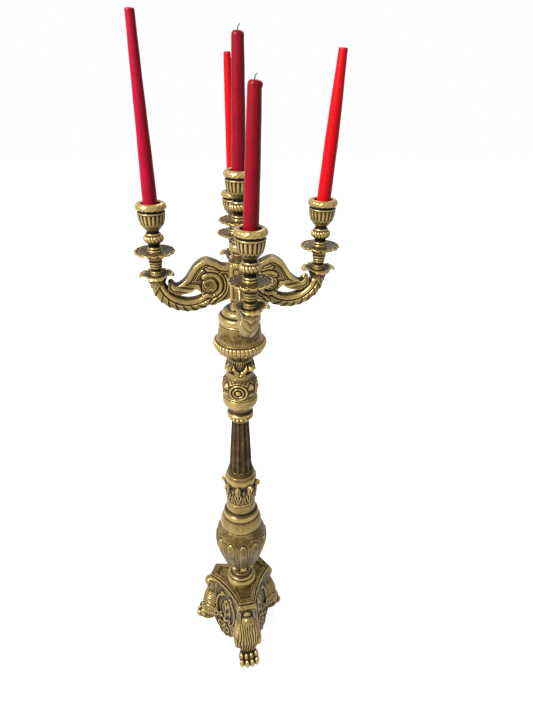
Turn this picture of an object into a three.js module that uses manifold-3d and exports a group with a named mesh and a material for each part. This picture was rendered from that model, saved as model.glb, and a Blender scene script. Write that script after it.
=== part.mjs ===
// Floor-standing candelabrum in patinated brass: a tripod base on lion paws, a column of turned and
// cast sections clamped on a long tie rod, and a lift-off head of four arms and five candle sockets.
// Millimetres, Z up. The origin is on the floor under the column's axis; the front arm points to -Y.

import * as THREE from 'three';
import { mergeVertices } from 'three/addons/utils/BufferGeometryUtils.js';
import Module from 'manifold-3d';

const wasm = await Module();
wasm.setup();

// ---- Driving dimensions ----

const SEAT_GAP = 0.3; // between two pieces that touch
const BORE_CLEARANCE = 0.6; // round a rod, on the radius
const TURNED_SIDES = 18;
const SMALL_SIDES = 12;

// Base
const LEG_COUNT = 3;
const BASE_TURN = 2.6; // degrees that the base stands turned from the head
const PLINTH_TOP = 172;
const PLINTH_LEDGE = 7; // height of the outer ledge's face
const PLINTH_BORDER = 5; // height of the border that stands on the ledge
const PANEL_DEPTH = 2.6; // sunk panel inside the border
const PLINTH_CORNER = 75; // axis to the flat corner face
const PLINTH_CORNER_WIDTH = 36;
const PLINTH_WAIST = 45; // axis to the middle of a hollow side
const BORDER_INSET = 4.5;
const PANEL_INSET = 11.5;
const BOSS_RADIUS = 17;
const BOSS_HEIGHT = 8;

// Legs, in the plane of a leg: distance from the axis and height over the floor
const BLOCK_WIDTH = 42;
const BLOCK_DEPTH = 27;
const BLOCK_HEIGHT = 14;
const KNOB_RADIUS = 13;
const KNOB_REACH = 80;
const KNOB_DROP = 36; // from the block's top to the knob's centre
const SHANK_TOP_REACH = 61;
const KNEE_REACH = 70;
const KNEE_HEIGHT = 80;
const KNEE_DEPTH = 18.5;
const KNEE_HALF_WIDTH = 29;
const ANKLE_REACH = 82;
const ANKLE_HEIGHT = 32;
const ANKLE_DEPTH = 12;
const ANKLE_HALF_WIDTH = 18;
const VOLUTE_REACH = 71;
const VOLUTE_HEIGHT = 58;
const VOLUTE_RADIUS = 17;
const VOLUTE_WIDTH = 61;
const PAW_REACH = 118.5;
const PAW_HALF_WIDTH = 23.5;
const PAW_HEIGHT = 27;
const TOE_COUNT = 4;
const LUG_LENGTH = 17;
const LUG_WIDTH = 16;
const LUG_THICKNESS = 5;
const LEG_SCREW_RADIUS = 2;
const LEG_SCREW_HEAD = 4.2;
const LEG_SCREW_HEAD_HEIGHT = 3;
const LEG_SCREW_BITE = 6; // length of its end inside the plinth

// Aprons between the legs
const APRON_WIDTH = 92;
const APRON_THICKNESS = 5;
const APRON_TOP_REACH = 41;
const APRON_FOOT_REACH = 57;
const APRON_FOOT_HEIGHT = 5;
const APRON_SIDE_RISE = 42; // how much higher its lower edge lies beside the legs

// Column, from the plinth upwards: heights and main radii of each section
const SOCLE_HEIGHT = 35.7;
const SOCLE_RADIUS = 33;
const SOCLE_STEP_RADIUS = 27.5;
const SOCLE_NECK = 21.5;
const COLLAR_HEIGHT = 33;
const COLLAR_RADIUS = 29.8;
const COLLAR_LEAVES = 8;
const BULB_HEIGHT = 118;
const BULB_FOOT = 26.5;
const BULB_RADIUS = 55.4;
const BULB_BELLY = 78; // height of its widest place
const BULB_NECK = 42;
const BULB_CUP_RADIUS = 36.5;
const BULB_CUP_RISE = 8;
const BULB_FLANK_RADIUS = 45.3;
const BULB_FLANK_RISE = 32;
const BULB_UPPER_RISE = 60;
const BULB_LOBES = 12;
const LOBE_DEPTH = 2.4;
const SHOULDER_HEIGHT = 67.4;
const SHOULDER_RADIUS = 43.6;
const SHOULDER_STEP_RADIUS = 35.8;
const SHOULDER_RING_RADIUS = 30.6;
const DRUM_HEIGHT = 59.7;
const DRUM_FOOT = 27.5;
const DRUM_RADIUS = 32.6;
const DRUM_LEAF_REACH = 38.5;
const DRUM_LEAVES = 8;
const DRUM_RING_HEIGHT = 17.5;
const DRUM_RING_RADIUS = 32;
const SHAFT_HEIGHT = 131.7;
const SHAFT_FOOT = 26.8;
const SHAFT_RADIUS = 22.2;
const SHAFT_TOP_RADIUS = 16.8;
const FLUTES = 12;
const FLUTE_DEPTH = 2.2;
const BEAD_COLLAR_HEIGHT = 29.7;
const BEAD_COLLAR_RADIUS = 25.2;
const BEAD_COLLAR_NECK = 20.6;
const BEADS = 12;
const TORUS_HEIGHT = 28.7;
const TORUS_RADIUS = 32.9;
const TORUS_NECK = 29.7;
const OVAL_HEIGHT = 41.7;
const OVAL_RADIUS = 32.5;
const OVAL_NECK = 25;
const CAPITAL_HEIGHT = 32.7;
const CAPITAL_RADIUS = 26.5;
const CAPITAL_VOLUTE_REACH = 30;
const CAPITAL_NECK = 20.5;
const BOWL_HEIGHT = 39.7;
const BOWL_RADIUS = 46.8;
const BOWL_MOUTH = 41;
const BOWL_BEADS = 16;
const BELL_HEIGHT = 32.7;
const BELL_RADIUS = 39.2;
const BELL_TOP_RADIUS = 33;

// Tie rod through the column and its nuts
const ROD_RADIUS = 5;
const ROD_TAIL = 5; // length that stands out of the lower nut
const ROD_TOP_TAIL = 2; // and of the upper one
const NUT_RADIUS = 9.2; // over its corners
const NUT_HEIGHT = 8;
const WASHER_RADIUS = 13;
const WASHER_THICKNESS = 2;

// Spigot on which the head stands and turns
const SPIGOT_RADIUS = 10.5;
const SPIGOT_DEPTH = 18; // length inside the bell
const SPIGOT_END_GAP = 1; // under the spigot's end
const SPIGOT_CLEARANCE = 0.3;
const SPIGOT_COLLAR_RADIUS = 14;
const SPIGOT_COLLAR_THICKNESS = 3;
const SPIGOT_TENON = 12; // length inside the head's foot
const SWIVEL_GAP = 0.9; // under the head's foot

// Head: foot, hub and centre stem
const FOOT_HEIGHT = 28.6;
const FOOT_RADIUS = 36.7;
const FOOT_DOME_RADIUS = 29.5;
const FOOT_TOP_RADIUS = 14;
const SPINDLE_HEIGHT = 13;
const SPINDLE_RADIUS = 13;
const HUB_HEIGHT = 58.5;
const HUB_WIDTH = 35;
const STEM_HEIGHT = 61;
const STEM_FOOT = 17.5;
const STEM_RADIUS = 10.5;
const STEM_KNOP = 16.5;
const STEM_TOP_RADIUS = 12.5;

// Arms, in the plane of an arm
const FRONT_ARM_DROP = 3.5; // how far this arm hangs below its place on the hub
const BACK_ARM_DROP = 14;
const BACK_ARM_SWING = -3; // degrees that it stands turned aside
const ARM_REACH = 131.6; // axis of the column to the axis of a socket
const ARM_DROP = 46.6; // depth of the tube's oval path under its end
const ARM_SWEEP = 127; // degrees of the oval that the tube follows
const TUBE_END_OFFSET = 4.2; // scroll's axis to the inner end of the tube
const ARM_TUBE_RADIUS = 12.2;
const ARM_THICKNESS = 15; // flat of the scroll, without its rounded edges
const ARM_EDGE = 3; // depth of the chamfer on each side of the scroll
const ARM_CHAMFER = 2; // and its width in the arm's plane
const ARM_RISE = 38.5; // hub's foot to the end of the tube
const SCROLL_REACH = 48.6;
const SCROLL_RISE = 27.5;
const SCROLL_RADIUS = 14;
const SCROLL_WIDTH = 25;
const CREST_RISE = 42; // scroll's centre to the top of the crest
const TENON_WIDTH = 9;
const TENON_HEIGHT = 24;
const TENON_LENGTH = 6;
const CALYX_RADIUS = 23.6;
const CALYX_HEIGHT = 25;
const CALYX_FLOOR = 6; // end of the tube to the seat inside the calyx
const CALYX_LEAVES = 6;

// Neck, drip pan and socket over each arm
const STUD_RADIUS = 3.5;
const STUD_CLEARANCE = 0.35;
const STUD_TAIL = 7; // length inside the arm
const STUD_BITE = 7; // length inside the socket
const NECK_HEIGHT = 29.7;
const NECK_RADIUS = 9.8;
const NECK_TOP_RADIUS = 12.5;
const PAN_RADIUS = 32.2;
const PAN_SCALLOPS = 16;
const SCALLOP_DEPTH = 1.8;
const PAN_FLOOR = 8.3; // thickness at its middle
const PAN_RISE = 11.2; // underside to rim
const PAN_EDGE = 1.6; // thickness at its rim
const SOCKET_HEIGHT = 75;
const SOCKET_FOOT = 11;
const SOCKET_KNOP = 15.5;
const SOCKET_KNOP_RISE = 21;
const SOCKET_WAIST = 8.8;
const SOCKET_WAIST_RISE = 29;
const SOCKET_RADIUS = 20.6;
const SOCKET_RIM_RADIUS = 23.2;
const SOCKET_RIM_HEIGHT = 10;
const SOCKET_MOUTH = 14.6;
const CUP_DEPTH = 24;

// Candles
const CANDLE_RADIUS = 10.8;
const CUP_CLEARANCE = 0.5;
const CANDLE_SHOULDER = 7; // height of a rounded candle end
const WICK_RADIUS = 0.9;
const WICK_SINK = 4;
const CENTRE_CANDLE_LENGTH = 198;
const CENTRE_CANDLE_MIDDLE = 9.8; // radius a little over half way up
const CENTRE_CANDLE_TOP = 8.6;
const CENTRE_WICK = 7;
const FRONT_CANDLE_LENGTH = 194.5;
const FRONT_CANDLE_MIDDLE = 9.9;
const FRONT_CANDLE_TOP = 8.6;
const FRONT_WICK = 6;
const RIGHT_CANDLE_LENGTH = 226;
const RIGHT_CANDLE_MIDDLE = 9.6;
const RIGHT_CANDLE_TOP = 6.3;
const BACK_CANDLE_LENGTH = 233;
const BACK_CANDLE_MIDDLE = 8.6;
const BACK_CANDLE_TOP = 5.6;
const LEFT_CANDLE_LENGTH = 263.5;
const LEFT_CANDLE_MIDDLE = 8.4;
const LEFT_CANDLE_TOP = 6.3;

// ---- Arms and candles, piece by piece ----

const ARM_SETS = {
  front: { drop: FRONT_ARM_DROP, swing: 0 },
  right: { drop: 0, swing: 0 },
  back: { drop: BACK_ARM_DROP, swing: BACK_ARM_SWING },
  left: { drop: 0, swing: 0 },
};
const ARM_NAMES = Object.keys(ARM_SETS);

// Each candle leans by some degrees towards an angle about Z; a used one has a rounded end
const CANDLES = [
  {
    name: 'centre', length: CENTRE_CANDLE_LENGTH, middle: CENTRE_CANDLE_MIDDLE, top: CENTRE_CANDLE_TOP,
    lean: 0, leanTo: 0, round: true, wick: CENTRE_WICK,
  },
  {
    name: 'front', length: FRONT_CANDLE_LENGTH, middle: FRONT_CANDLE_MIDDLE, top: FRONT_CANDLE_TOP,
    lean: 1.2, leanTo: 0, round: true, wick: FRONT_WICK,
  },
  {
    name: 'right', length: RIGHT_CANDLE_LENGTH, middle: RIGHT_CANDLE_MIDDLE, top: RIGHT_CANDLE_TOP,
    lean: 3.4, leanTo: 0, round: false, wick: 0,
  },
  {
    name: 'back', length: BACK_CANDLE_LENGTH, middle: BACK_CANDLE_MIDDLE, top: BACK_CANDLE_TOP,
    lean: 2.1, leanTo: 180, round: false, wick: 0,
  },
  {
    name: 'left', length: LEFT_CANDLE_LENGTH, middle: LEFT_CANDLE_MIDDLE, top: LEFT_CANDLE_TOP,
    lean: 0.9, leanTo: 180, round: false, wick: 0,
  },
];

// ---- Heights that follow from them ----

const PLINTH_FOOT = PLINTH_TOP - PLINTH_BORDER - PLINTH_LEDGE;
const PANEL_TOP = PLINTH_TOP - PANEL_DEPTH;
const BLOCK_TOP = PLINTH_FOOT - SEAT_GAP;
const ROD_BORE = ROD_RADIUS + BORE_CLEARANCE;
const SPIGOT_BORE = SPIGOT_RADIUS + SPIGOT_CLEARANCE;
const STUD_BORE = STUD_RADIUS + STUD_CLEARANCE;

const SECTION_HEIGHTS = [
  SOCLE_HEIGHT, COLLAR_HEIGHT, BULB_HEIGHT, SHOULDER_HEIGHT, DRUM_HEIGHT, DRUM_RING_HEIGHT, SHAFT_HEIGHT,
  BEAD_COLLAR_HEIGHT, TORUS_HEIGHT, OVAL_HEIGHT, CAPITAL_HEIGHT, BOWL_HEIGHT, BELL_HEIGHT,
];
const STAND_TOP = SECTION_HEIGHTS.reduce((level, height) => level + SEAT_GAP + height, PANEL_TOP);
const SPIGOT_SEAT = STAND_TOP + SEAT_GAP;
const FOOT_BOTTOM = STAND_TOP + SWIVEL_GAP;
const FOOT_TOP = FOOT_BOTTOM + FOOT_HEIGHT;
const COLLAR_TOP = SPIGOT_SEAT + SPIGOT_COLLAR_THICKNESS;
const HUB_BOTTOM = FOOT_TOP + SEAT_GAP + SPINDLE_HEIGHT;
const HUB_TOP = HUB_BOTTOM + HUB_HEIGHT;
const STEM_BOTTOM = HUB_TOP + SEAT_GAP;
const STEM_TOP = STEM_BOTTOM + STEM_HEIGHT;
const ARM_END = HUB_BOTTOM + ARM_RISE;
const ARM_BOW = (ARM_REACH - SCROLL_REACH - TUBE_END_OFFSET) / (1 - Math.cos(THREE.MathUtils.degToRad(ARM_SWEEP)));
const NECK_BOTTOM = ARM_END + CALYX_FLOOR + SEAT_GAP;
const NECK_TOP = NECK_BOTTOM + NECK_HEIGHT;

// ---- Finishes ----

const finish = (color, roughness, metalness) => new THREE.MeshStandardMaterial({ color, roughness, metalness });
const BRASS = finish(0x9a7b3c, 0.42, 0.9);
const DARK_BRASS = finish(0x5a4520, 0.55, 0.85);
const STEEL = finish(0x8a8d90, 0.45, 0.9);
const CRIMSON_WAX = finish(0x9c0a2a, 0.45, 0);
const RED_WAX = finish(0xc00a12, 0.45, 0);
const WICK_COTTON = finish(0x2a2420, 0.9, 0);

// ---- Solids ----

/** A geometry's corners and faces, welded, with its faces turned outwards. */
function weld(geometry) {
  const bare = geometry.clone();
  bare.deleteAttribute('normal');
  bare.deleteAttribute('uv');
  const welded = mergeVertices(bare);
  const corners = welded.attributes.position.array;
  const faces = [];
  const all = welded.index.array;
  let volume = 0;
  const [a, b, c] = [new THREE.Vector3(), new THREE.Vector3(), new THREE.Vector3()];
  for (let i = 0; i < all.length; i += 3) {
    const [p, q, r] = [all[i], all[i + 1], all[i + 2]];
    if (p === q || q === r || r === p) continue;
    faces.push(p, q, r);
    volume += a.fromArray(corners, 3 * p).dot(b.fromArray(corners, 3 * q).cross(c.fromArray(corners, 3 * r)));
  }
  if (volume < 0) faces.reverse();
  return { corners, faces };
}

/** The geometry as a solid that can be joined and cut. */
function solid(geometry) {
  const { corners, faces } = weld(geometry);
  return new wasm.Manifold(new wasm.Mesh({
    numProp: 3,
    vertProperties: Float32Array.from(corners),
    triVerts: Uint32Array.from(faces),
  }));
}

/** A solid as a geometry again. */
function shell(body) {
  const { vertProperties, triVerts } = body.getMesh();
  const geometry = new THREE.BufferGeometry();
  geometry.setAttribute('position', new THREE.BufferAttribute(Float32Array.from(vertProperties), 3));
  geometry.setIndex(new THREE.BufferAttribute(Uint32Array.from(triVerts), 1));
  return geometry;
}

const join = (...geometries) => geometries.map(solid).reduce((all, next) => all.add(next));

function mesh(name, shape, material) {
  const geometry = shape.isBufferGeometry ? shell(solid(shape)) : shell(shape);
  const piece = new THREE.Mesh(geometry, material);
  piece.name = name;
  return piece;
}

// ---- Shapes ----

/** Turned piece about Z through [radius, height] pairs. */
function turned(pairs, sides = TURNED_SIDES) {
  const points = pairs.map(([radius, height]) => new THREE.Vector2(radius, height));
  return new THREE.LatheGeometry(points, sides).rotateX(Math.PI / 2);
}

/** Turned piece with a straight bore; the pairs run up its outside. */
function bored(pairs, bore, sides = TURNED_SIDES) {
  const foot = pairs[0][1];
  const top = pairs[pairs.length - 1][1];
  return turned([[bore, foot], ...pairs, [bore, top], [bore, foot]], sides);
}

/** Smooth run of pairs through a few of them. */
function smooth(pairs, count) {
  const curve = new THREE.SplineCurve(pairs.map(([x, y]) => new THREE.Vector2(x, y)));
  return curve.getPoints(count).map((point) => [point.x, point.y]);
}

/** Pairs on half a round moulding that stands out of a wall of the given radius. */
function roll(wall, reach, foot, height) {
  const steps = 3;
  const angleOf = (step) => Math.PI * (step / steps - 0.5);
  const bulge = (reach - wall) / Math.cos(angleOf(1));
  return Array.from({ length: steps + 1 }, (_, step) => [
    wall + bulge * Math.cos(angleOf(step)),
    foot + (height / 2) * (1 + Math.sin(angleOf(step))),
  ]);
}

/** Moves every corner of a geometry. */
function reshape(geometry, move) {
  const places = geometry.attributes.position;
  const point = new THREE.Vector3();
  for (let i = 0; i < places.count; i += 1) {
    move(point.fromBufferAttribute(places, i));
    places.setXYZ(i, point.x, point.y, point.z);
  }
  return geometry;
}

/** Gives a turned piece lobes: swell(height) is how far they stand in or out at that height. */
function lobed(geometry, count, inner, swell) {
  return reshape(geometry, (point) => {
    const radius = Math.hypot(point.x, point.y);
    if (radius <= inner) return;
    const wave = 0.5 + 0.5 * Math.cos(count * Math.atan2(point.y, point.x));
    const grown = (radius + swell(point.z, radius) * wave) / radius;
    point.x *= grown;
    point.y *= grown;
  });
}

/** Bar along a path in the XZ plane; sizes gives its half depth in that plane and its half width. */
function bar(path, sizes, sides, steps) {
  const geometry = new THREE.CylinderGeometry(1, 1, 1, sides, steps);
  return reshape(geometry, (point) => {
    const t = point.y + 0.5;
    const place = path.getPoint(t);
    const along = path.getTangent(t);
    const size = sizes.getPoint(t);
    const across = point.x * size.x;
    point.set(place.x + along.y * across, point.z * size.y, place.y - along.x * across);
  });
}

const pointsOf = (pairs) => pairs.map(([x, y]) => new THREE.Vector2(x, y));
const splineOf = (pairs) => new THREE.SplineCurve(pointsOf(pairs));
const box = (x, y, z) => new THREE.BoxGeometry(x, y, z);
const rod = (radius, height, sides = SMALL_SIDES) =>
  new THREE.CylinderGeometry(radius, radius, height, sides).rotateX(Math.PI / 2);

// ---- Base ----

const legAngle = (index) => THREE.MathUtils.degToRad(-90 + BASE_TURN + (360 / LEG_COUNT) * index);
const LEG_NAMES = ['front', 'right', 'left'];

/** Outline of the plinth: hollow sides between flat corners, drawn in by an inset. */
function plinthOutline(inset) {
  const outline = new THREE.Shape();
  const corner = PLINTH_CORNER - inset;
  const half = PLINTH_CORNER_WIDTH / 2 - inset * 0.45;
  const bend = 2 * (PLINTH_WAIST - inset) - corner * 0.5 - half * Math.sin(Math.PI / LEG_COUNT);
  for (let index = 0; index < LEG_COUNT; index += 1) {
    const angle = legAngle(index);
    const at = (side) => [
      corner * Math.cos(angle) - side * half * Math.sin(angle),
      corner * Math.sin(angle) + side * half * Math.cos(angle),
    ];
    if (index === 0) outline.moveTo(...at(-1));
    outline.lineTo(...at(1));
    const next = legAngle(index + 1);
    const middle = angle + Math.PI / LEG_COUNT;
    outline.quadraticCurveTo(
      bend * Math.cos(middle),
      bend * Math.sin(middle),
      corner * Math.cos(next) + half * Math.sin(next),
      corner * Math.sin(next) - half * Math.cos(next),
    );
  }
  return outline;
}

function plinthLayer(inset, foot, height) {
  const layer = new THREE.ExtrudeGeometry(plinthOutline(inset), {
    depth: height, bevelEnabled: false, curveSegments: 8,
  });
  return layer.translate(0, 0, foot);
}

const lugReach = () => PLINTH_CORNER - BLOCK_DEPTH - LUG_LENGTH / 2;

function plinth() {
  const overlap = 1; // depth that joined layers share
  let body = join(
    plinthLayer(0, PLINTH_FOOT, PLINTH_LEDGE),
    plinthLayer(BORDER_INSET, PLINTH_FOOT + overlap, PLINTH_LEDGE + PLINTH_BORDER - overlap),
    rod(BOSS_RADIUS, BOSS_HEIGHT + overlap).translate(0, 0, PLINTH_FOOT + (overlap - BOSS_HEIGHT) / 2),
  );
  body = body.subtract(solid(plinthLayer(PANEL_INSET, PANEL_TOP, PANEL_DEPTH + overlap)));
  const through = PANEL_TOP - PLINTH_FOOT + BOSS_HEIGHT + 2 * overlap;
  body = body.subtract(solid(rod(ROD_BORE, through).translate(0, 0, (PANEL_TOP + PLINTH_FOOT - BOSS_HEIGHT) / 2)));
  for (let index = 0; index < LEG_COUNT; index += 1) {
    const hole = rod(LEG_SCREW_RADIUS + SEAT_GAP, LEG_SCREW_BITE + SEAT_GAP + overlap, 8);
    hole.translate(lugReach(), 0, PLINTH_FOOT + (LEG_SCREW_BITE + SEAT_GAP - overlap) / 2);
    body = body.subtract(solid(hole.rotateZ(legAngle(index))));
  }
  return body;
}

/** Shank of a leg: grow widens it all round, for the room that its neighbours leave. */
function shank(grow = 0) {
  const path = splineOf([
    [SHANK_TOP_REACH, BLOCK_TOP - BLOCK_HEIGHT / 2],
    [SHANK_TOP_REACH + 1.5, BLOCK_TOP - KNOB_DROP],
    [KNEE_REACH, KNEE_HEIGHT],
    [(KNEE_REACH + ANKLE_REACH) / 2, (KNEE_HEIGHT + ANKLE_HEIGHT) / 2],
    [ANKLE_REACH, ANKLE_HEIGHT],
    [ANKLE_REACH + 4, ANKLE_HEIGHT / 2],
  ]);
  const sizes = splineOf([
    [BLOCK_DEPTH / 2 + grow, BLOCK_WIDTH / 2 + grow],
    [KNEE_DEPTH - 1 + grow, BLOCK_WIDTH / 2 + 1 + grow],
    [KNEE_DEPTH + grow, KNEE_HALF_WIDTH + grow],
    [(KNEE_DEPTH + ANKLE_DEPTH) / 2 + grow, KNEE_HALF_WIDTH - 3 + grow],
    [ANKLE_DEPTH + grow, ANKLE_HALF_WIDTH + grow],
    [ANKLE_DEPTH + grow, ANKLE_HALF_WIDTH + 2 + grow],
  ]);
  return bar(path, sizes, 10, 7);
}

/** Scroll that winds up on both sides of the shank. */
function legVolute(grow = 0) {
  const radius = VOLUTE_RADIUS + grow;
  const disc = new THREE.CylinderGeometry(radius, radius, VOLUTE_WIDTH + 2 * grow, SMALL_SIDES);
  return disc.translate(VOLUTE_REACH, 0, VOLUTE_HEIGHT);
}

function blockBox(grow = 0) {
  const block = box(BLOCK_DEPTH + 2 * grow, BLOCK_WIDTH + 2 * grow, BLOCK_HEIGHT + 2 * grow);
  return block.translate(PLINTH_CORNER - BLOCK_DEPTH / 2, 0, BLOCK_TOP - BLOCK_HEIGHT / 2);
}

/** Ball of one joint of a toe. */
function toeBall(reach, side, height, length, width) {
  const ball = new THREE.SphereGeometry(1, 6, 4).rotateX(Math.PI / 2);
  return ball.scale(length, width, height).translate(reach, side, height * 0.86);
}

function paw() {
  const palm = new THREE.SphereGeometry(1, 8, 5).rotateX(Math.PI / 2);
  const length = (PAW_REACH - ANKLE_REACH) / 2 + 6;
  palm.scale(length, PAW_HALF_WIDTH * 0.94, PAW_HEIGHT * 0.82).translate(PAW_REACH - length - 7, 0, PAW_HEIGHT * 0.2);
  const parts = [palm];
  const pitch = (2 * PAW_HALF_WIDTH) / TOE_COUNT;
  for (let toe = 0; toe < TOE_COUNT; toe += 1) {
    const side = pitch * (toe + 0.5) - PAW_HALF_WIDTH;
    const setBack = 4.5 * (side / PAW_HALF_WIDTH) ** 2;
    parts.push(toeBall(PAW_REACH - 20 - setBack, side * 0.95, PAW_HEIGHT * 0.55, 10, pitch * 0.56));
    parts.push(toeBall(PAW_REACH - 8.5 - setBack, side, PAW_HEIGHT * 0.34, 8.5, pitch * 0.54));
  }
  const floor = box(4 * PAW_REACH, 4 * PAW_REACH, PAW_HEIGHT).translate(0, 0, -PAW_HEIGHT / 2);
  return join(...parts).subtract(solid(floor));
}

function leg() {
  const lug = box(LUG_LENGTH + BLOCK_DEPTH, LUG_WIDTH, LUG_THICKNESS);
  lug.translate(PLINTH_CORNER - BLOCK_DEPTH / 2 - LUG_LENGTH / 2 - 1, 0, BLOCK_TOP - LUG_THICKNESS / 2);
  const knob = new THREE.SphereGeometry(KNOB_RADIUS, 10, 6).rotateX(Math.PI / 2);
  knob.translate(KNOB_REACH, 0, BLOCK_TOP - KNOB_DROP);
  const stem = rod(KNOB_RADIUS * 0.6, KNOB_DROP, 8).translate(KNOB_REACH - 5.5, 0, BLOCK_TOP - KNOB_DROP / 2 - 2);
  const screwHole = rod(LEG_SCREW_RADIUS + SEAT_GAP, 4 * LUG_THICKNESS, 8).translate(lugReach(), 0, BLOCK_TOP);
  return join(shank(), legVolute(), blockBox(), lug, knob, stem).add(paw()).subtract(solid(screwHole));
}

/** Screw that holds a leg's lug against the plinth, head down. */
function legScrew() {
  const top = BLOCK_TOP + SEAT_GAP + LEG_SCREW_BITE;
  const seat = BLOCK_TOP - LUG_THICKNESS - SEAT_GAP;
  const foot = seat - LEG_SCREW_HEAD_HEIGHT;
  return turned([
    [0, foot], [LEG_SCREW_HEAD, foot], [LEG_SCREW_HEAD, seat], [LEG_SCREW_RADIUS, seat], [LEG_SCREW_RADIUS, top], [0, top],
  ], 8).translate(lugReach(), 0, 0);
}

/** Curved shell panel between two legs, trimmed to the legs on both sides. */
function apron(index) {
  const top = PLINTH_FOOT - SEAT_GAP;
  const height = top - APRON_FOOT_HEIGHT;
  const panel = new THREE.BoxGeometry(APRON_THICKNESS, APRON_WIDTH, height, 1, 8, 4);
  reshape(panel, (point) => {
    const across = (2 * point.y) / APRON_WIDTH;
    const down = 0.5 - point.z / height;
    const side = Math.abs(across);
    const rise = APRON_SIDE_RISE * side ** 1.5 + 5 * Math.cos(5 * Math.PI * across) * (1 - side);
    const reach = APRON_TOP_REACH + (APRON_FOOT_REACH - APRON_TOP_REACH) * down ** 2;
    point.x += reach + 4 * side ** 2 * (1 - down);
    point.z = top - down * (height - Math.max(0, rise));
  });
  panel.rotateZ(legAngle(index) + Math.PI / LEG_COUNT);
  let body = solid(panel);
  for (const neighbour of [index, index + 1]) {
    const turn = legAngle(neighbour);
    for (const obstacle of [shank(SEAT_GAP), legVolute(SEAT_GAP), blockBox(SEAT_GAP)]) {
      body = body.subtract(solid(obstacle.rotateZ(turn)));
    }
  }
  return body.decompose().sort((a, b) => b.volume() - a.volume())[0];
}

// ---- Column ----

function socle(foot, top) {
  const ledge = foot + SOCLE_HEIGHT * 0.58;
  const cove = ledge + SOCLE_HEIGHT * 0.2;
  return bored([
    ...roll(SOCLE_RADIUS - 5, SOCLE_RADIUS, foot, ledge - foot),
    [SOCLE_STEP_RADIUS, ledge],
    [SOCLE_STEP_RADIUS, cove],
    ...smooth([[SOCLE_STEP_RADIUS - 2, cove], [SOCLE_NECK + 0.6, cove + 4], [SOCLE_NECK, top]], 3),
  ], ROD_BORE);
}

function leafCollar(foot, top) {
  const outline = smooth([
    [SOCLE_NECK - 0.5, foot], [SOCLE_NECK - 1.5, foot + 6], [COLLAR_RADIUS - 5, foot + 16],
    [COLLAR_RADIUS - 3, foot + 24], [BULB_FOOT - 2, top],
  ], 7);
  const knobs = (height) => 3.4 * Math.exp(-(((height - foot - 22) / 6) ** 2));
  return lobed(bored(outline, ROD_BORE), COLLAR_LEAVES, ROD_BORE + 1, knobs);
}

function bulb(foot, top) {
  const belly = foot + BULB_BELLY;
  const outline = smooth([
    [BULB_FOOT, foot], [BULB_CUP_RADIUS, foot + BULB_CUP_RISE], [BULB_FLANK_RADIUS, foot + BULB_FLANK_RISE],
    [BULB_RADIUS - 2.4, foot + BULB_UPPER_RISE], [BULB_RADIUS, belly], [BULB_RADIUS - 3, belly + 16], [BULB_NECK, top],
  ], 9);
  const lobes = (height) => -LOBE_DEPTH * THREE.MathUtils.smoothstep(belly + 2 - height, 0, 14);
  return lobed(bored(outline, ROD_BORE, 2 * BULB_LOBES), BULB_LOBES, ROD_BORE + 1, lobes);
}

function shoulder(foot, top) {
  const step = foot + SHOULDER_HEIGHT * 0.48;
  const ring = top - SHOULDER_HEIGHT * 0.3;
  return bored([
    ...smooth([
      [BULB_NECK - 1.5, foot], [SHOULDER_RADIUS, foot + 14], [SHOULDER_RADIUS - 2.5, foot + 25],
      [SHOULDER_STEP_RADIUS + 1.5, step],
    ], 6),
    [SHOULDER_STEP_RADIUS, step],
    [SHOULDER_STEP_RADIUS - 0.6, step + 5],
    [SHOULDER_RING_RADIUS - 2, ring],
    ...roll(SHOULDER_RING_RADIUS - 2.4, SHOULDER_RING_RADIUS, ring, top - ring),
  ], ROD_BORE);
}

function leafDrum(foot, top) {
  const outline = [
    ...smooth([[DRUM_FOOT, foot], [DRUM_FOOT + 1.2, foot + 11], [DRUM_RADIUS - 1.5, foot + 30], [DRUM_RADIUS, top - 10]], 5),
    [DRUM_RADIUS + 0.6, top - 3],
    [DRUM_RADIUS - 2, top],
  ];
  const tips = (height) => (DRUM_LEAF_REACH - DRUM_RADIUS) * Math.exp(-(((height - top + 6) / 6) ** 2));
  return lobed(bored(outline, ROD_BORE), DRUM_LEAVES, ROD_BORE + 1, tips);
}

function drumRing(foot, top) {
  return bored([
    ...roll(DRUM_RING_RADIUS - 3.5, DRUM_RING_RADIUS, foot, DRUM_RING_HEIGHT * 0.72),
    [SHAFT_FOOT + 1, top],
  ], ROD_BORE);
}

function flutedShaft(foot, top) {
  const outline = [
    [SHAFT_FOOT, foot], [SHAFT_FOOT - 0.5, foot + 6], [SHAFT_RADIUS + 1.4, foot + 14], [SHAFT_RADIUS, foot + 21],
    [(SHAFT_RADIUS + SHAFT_TOP_RADIUS) / 2 + 0.3, foot + SHAFT_HEIGHT * 0.55],
    [SHAFT_TOP_RADIUS, top - 7], [SHAFT_TOP_RADIUS + 0.4, top],
  ];
  const flutes = (height) => {
    const clear = Math.min((height - foot - 3) / 8, (top - 3 - height) / 4);
    return -FLUTE_DEPTH * THREE.MathUtils.clamp(clear, 0, 1);
  };
  return lobed(bored(outline, ROD_BORE, 2 * FLUTES), FLUTES, ROD_BORE + 1, flutes);
}

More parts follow.
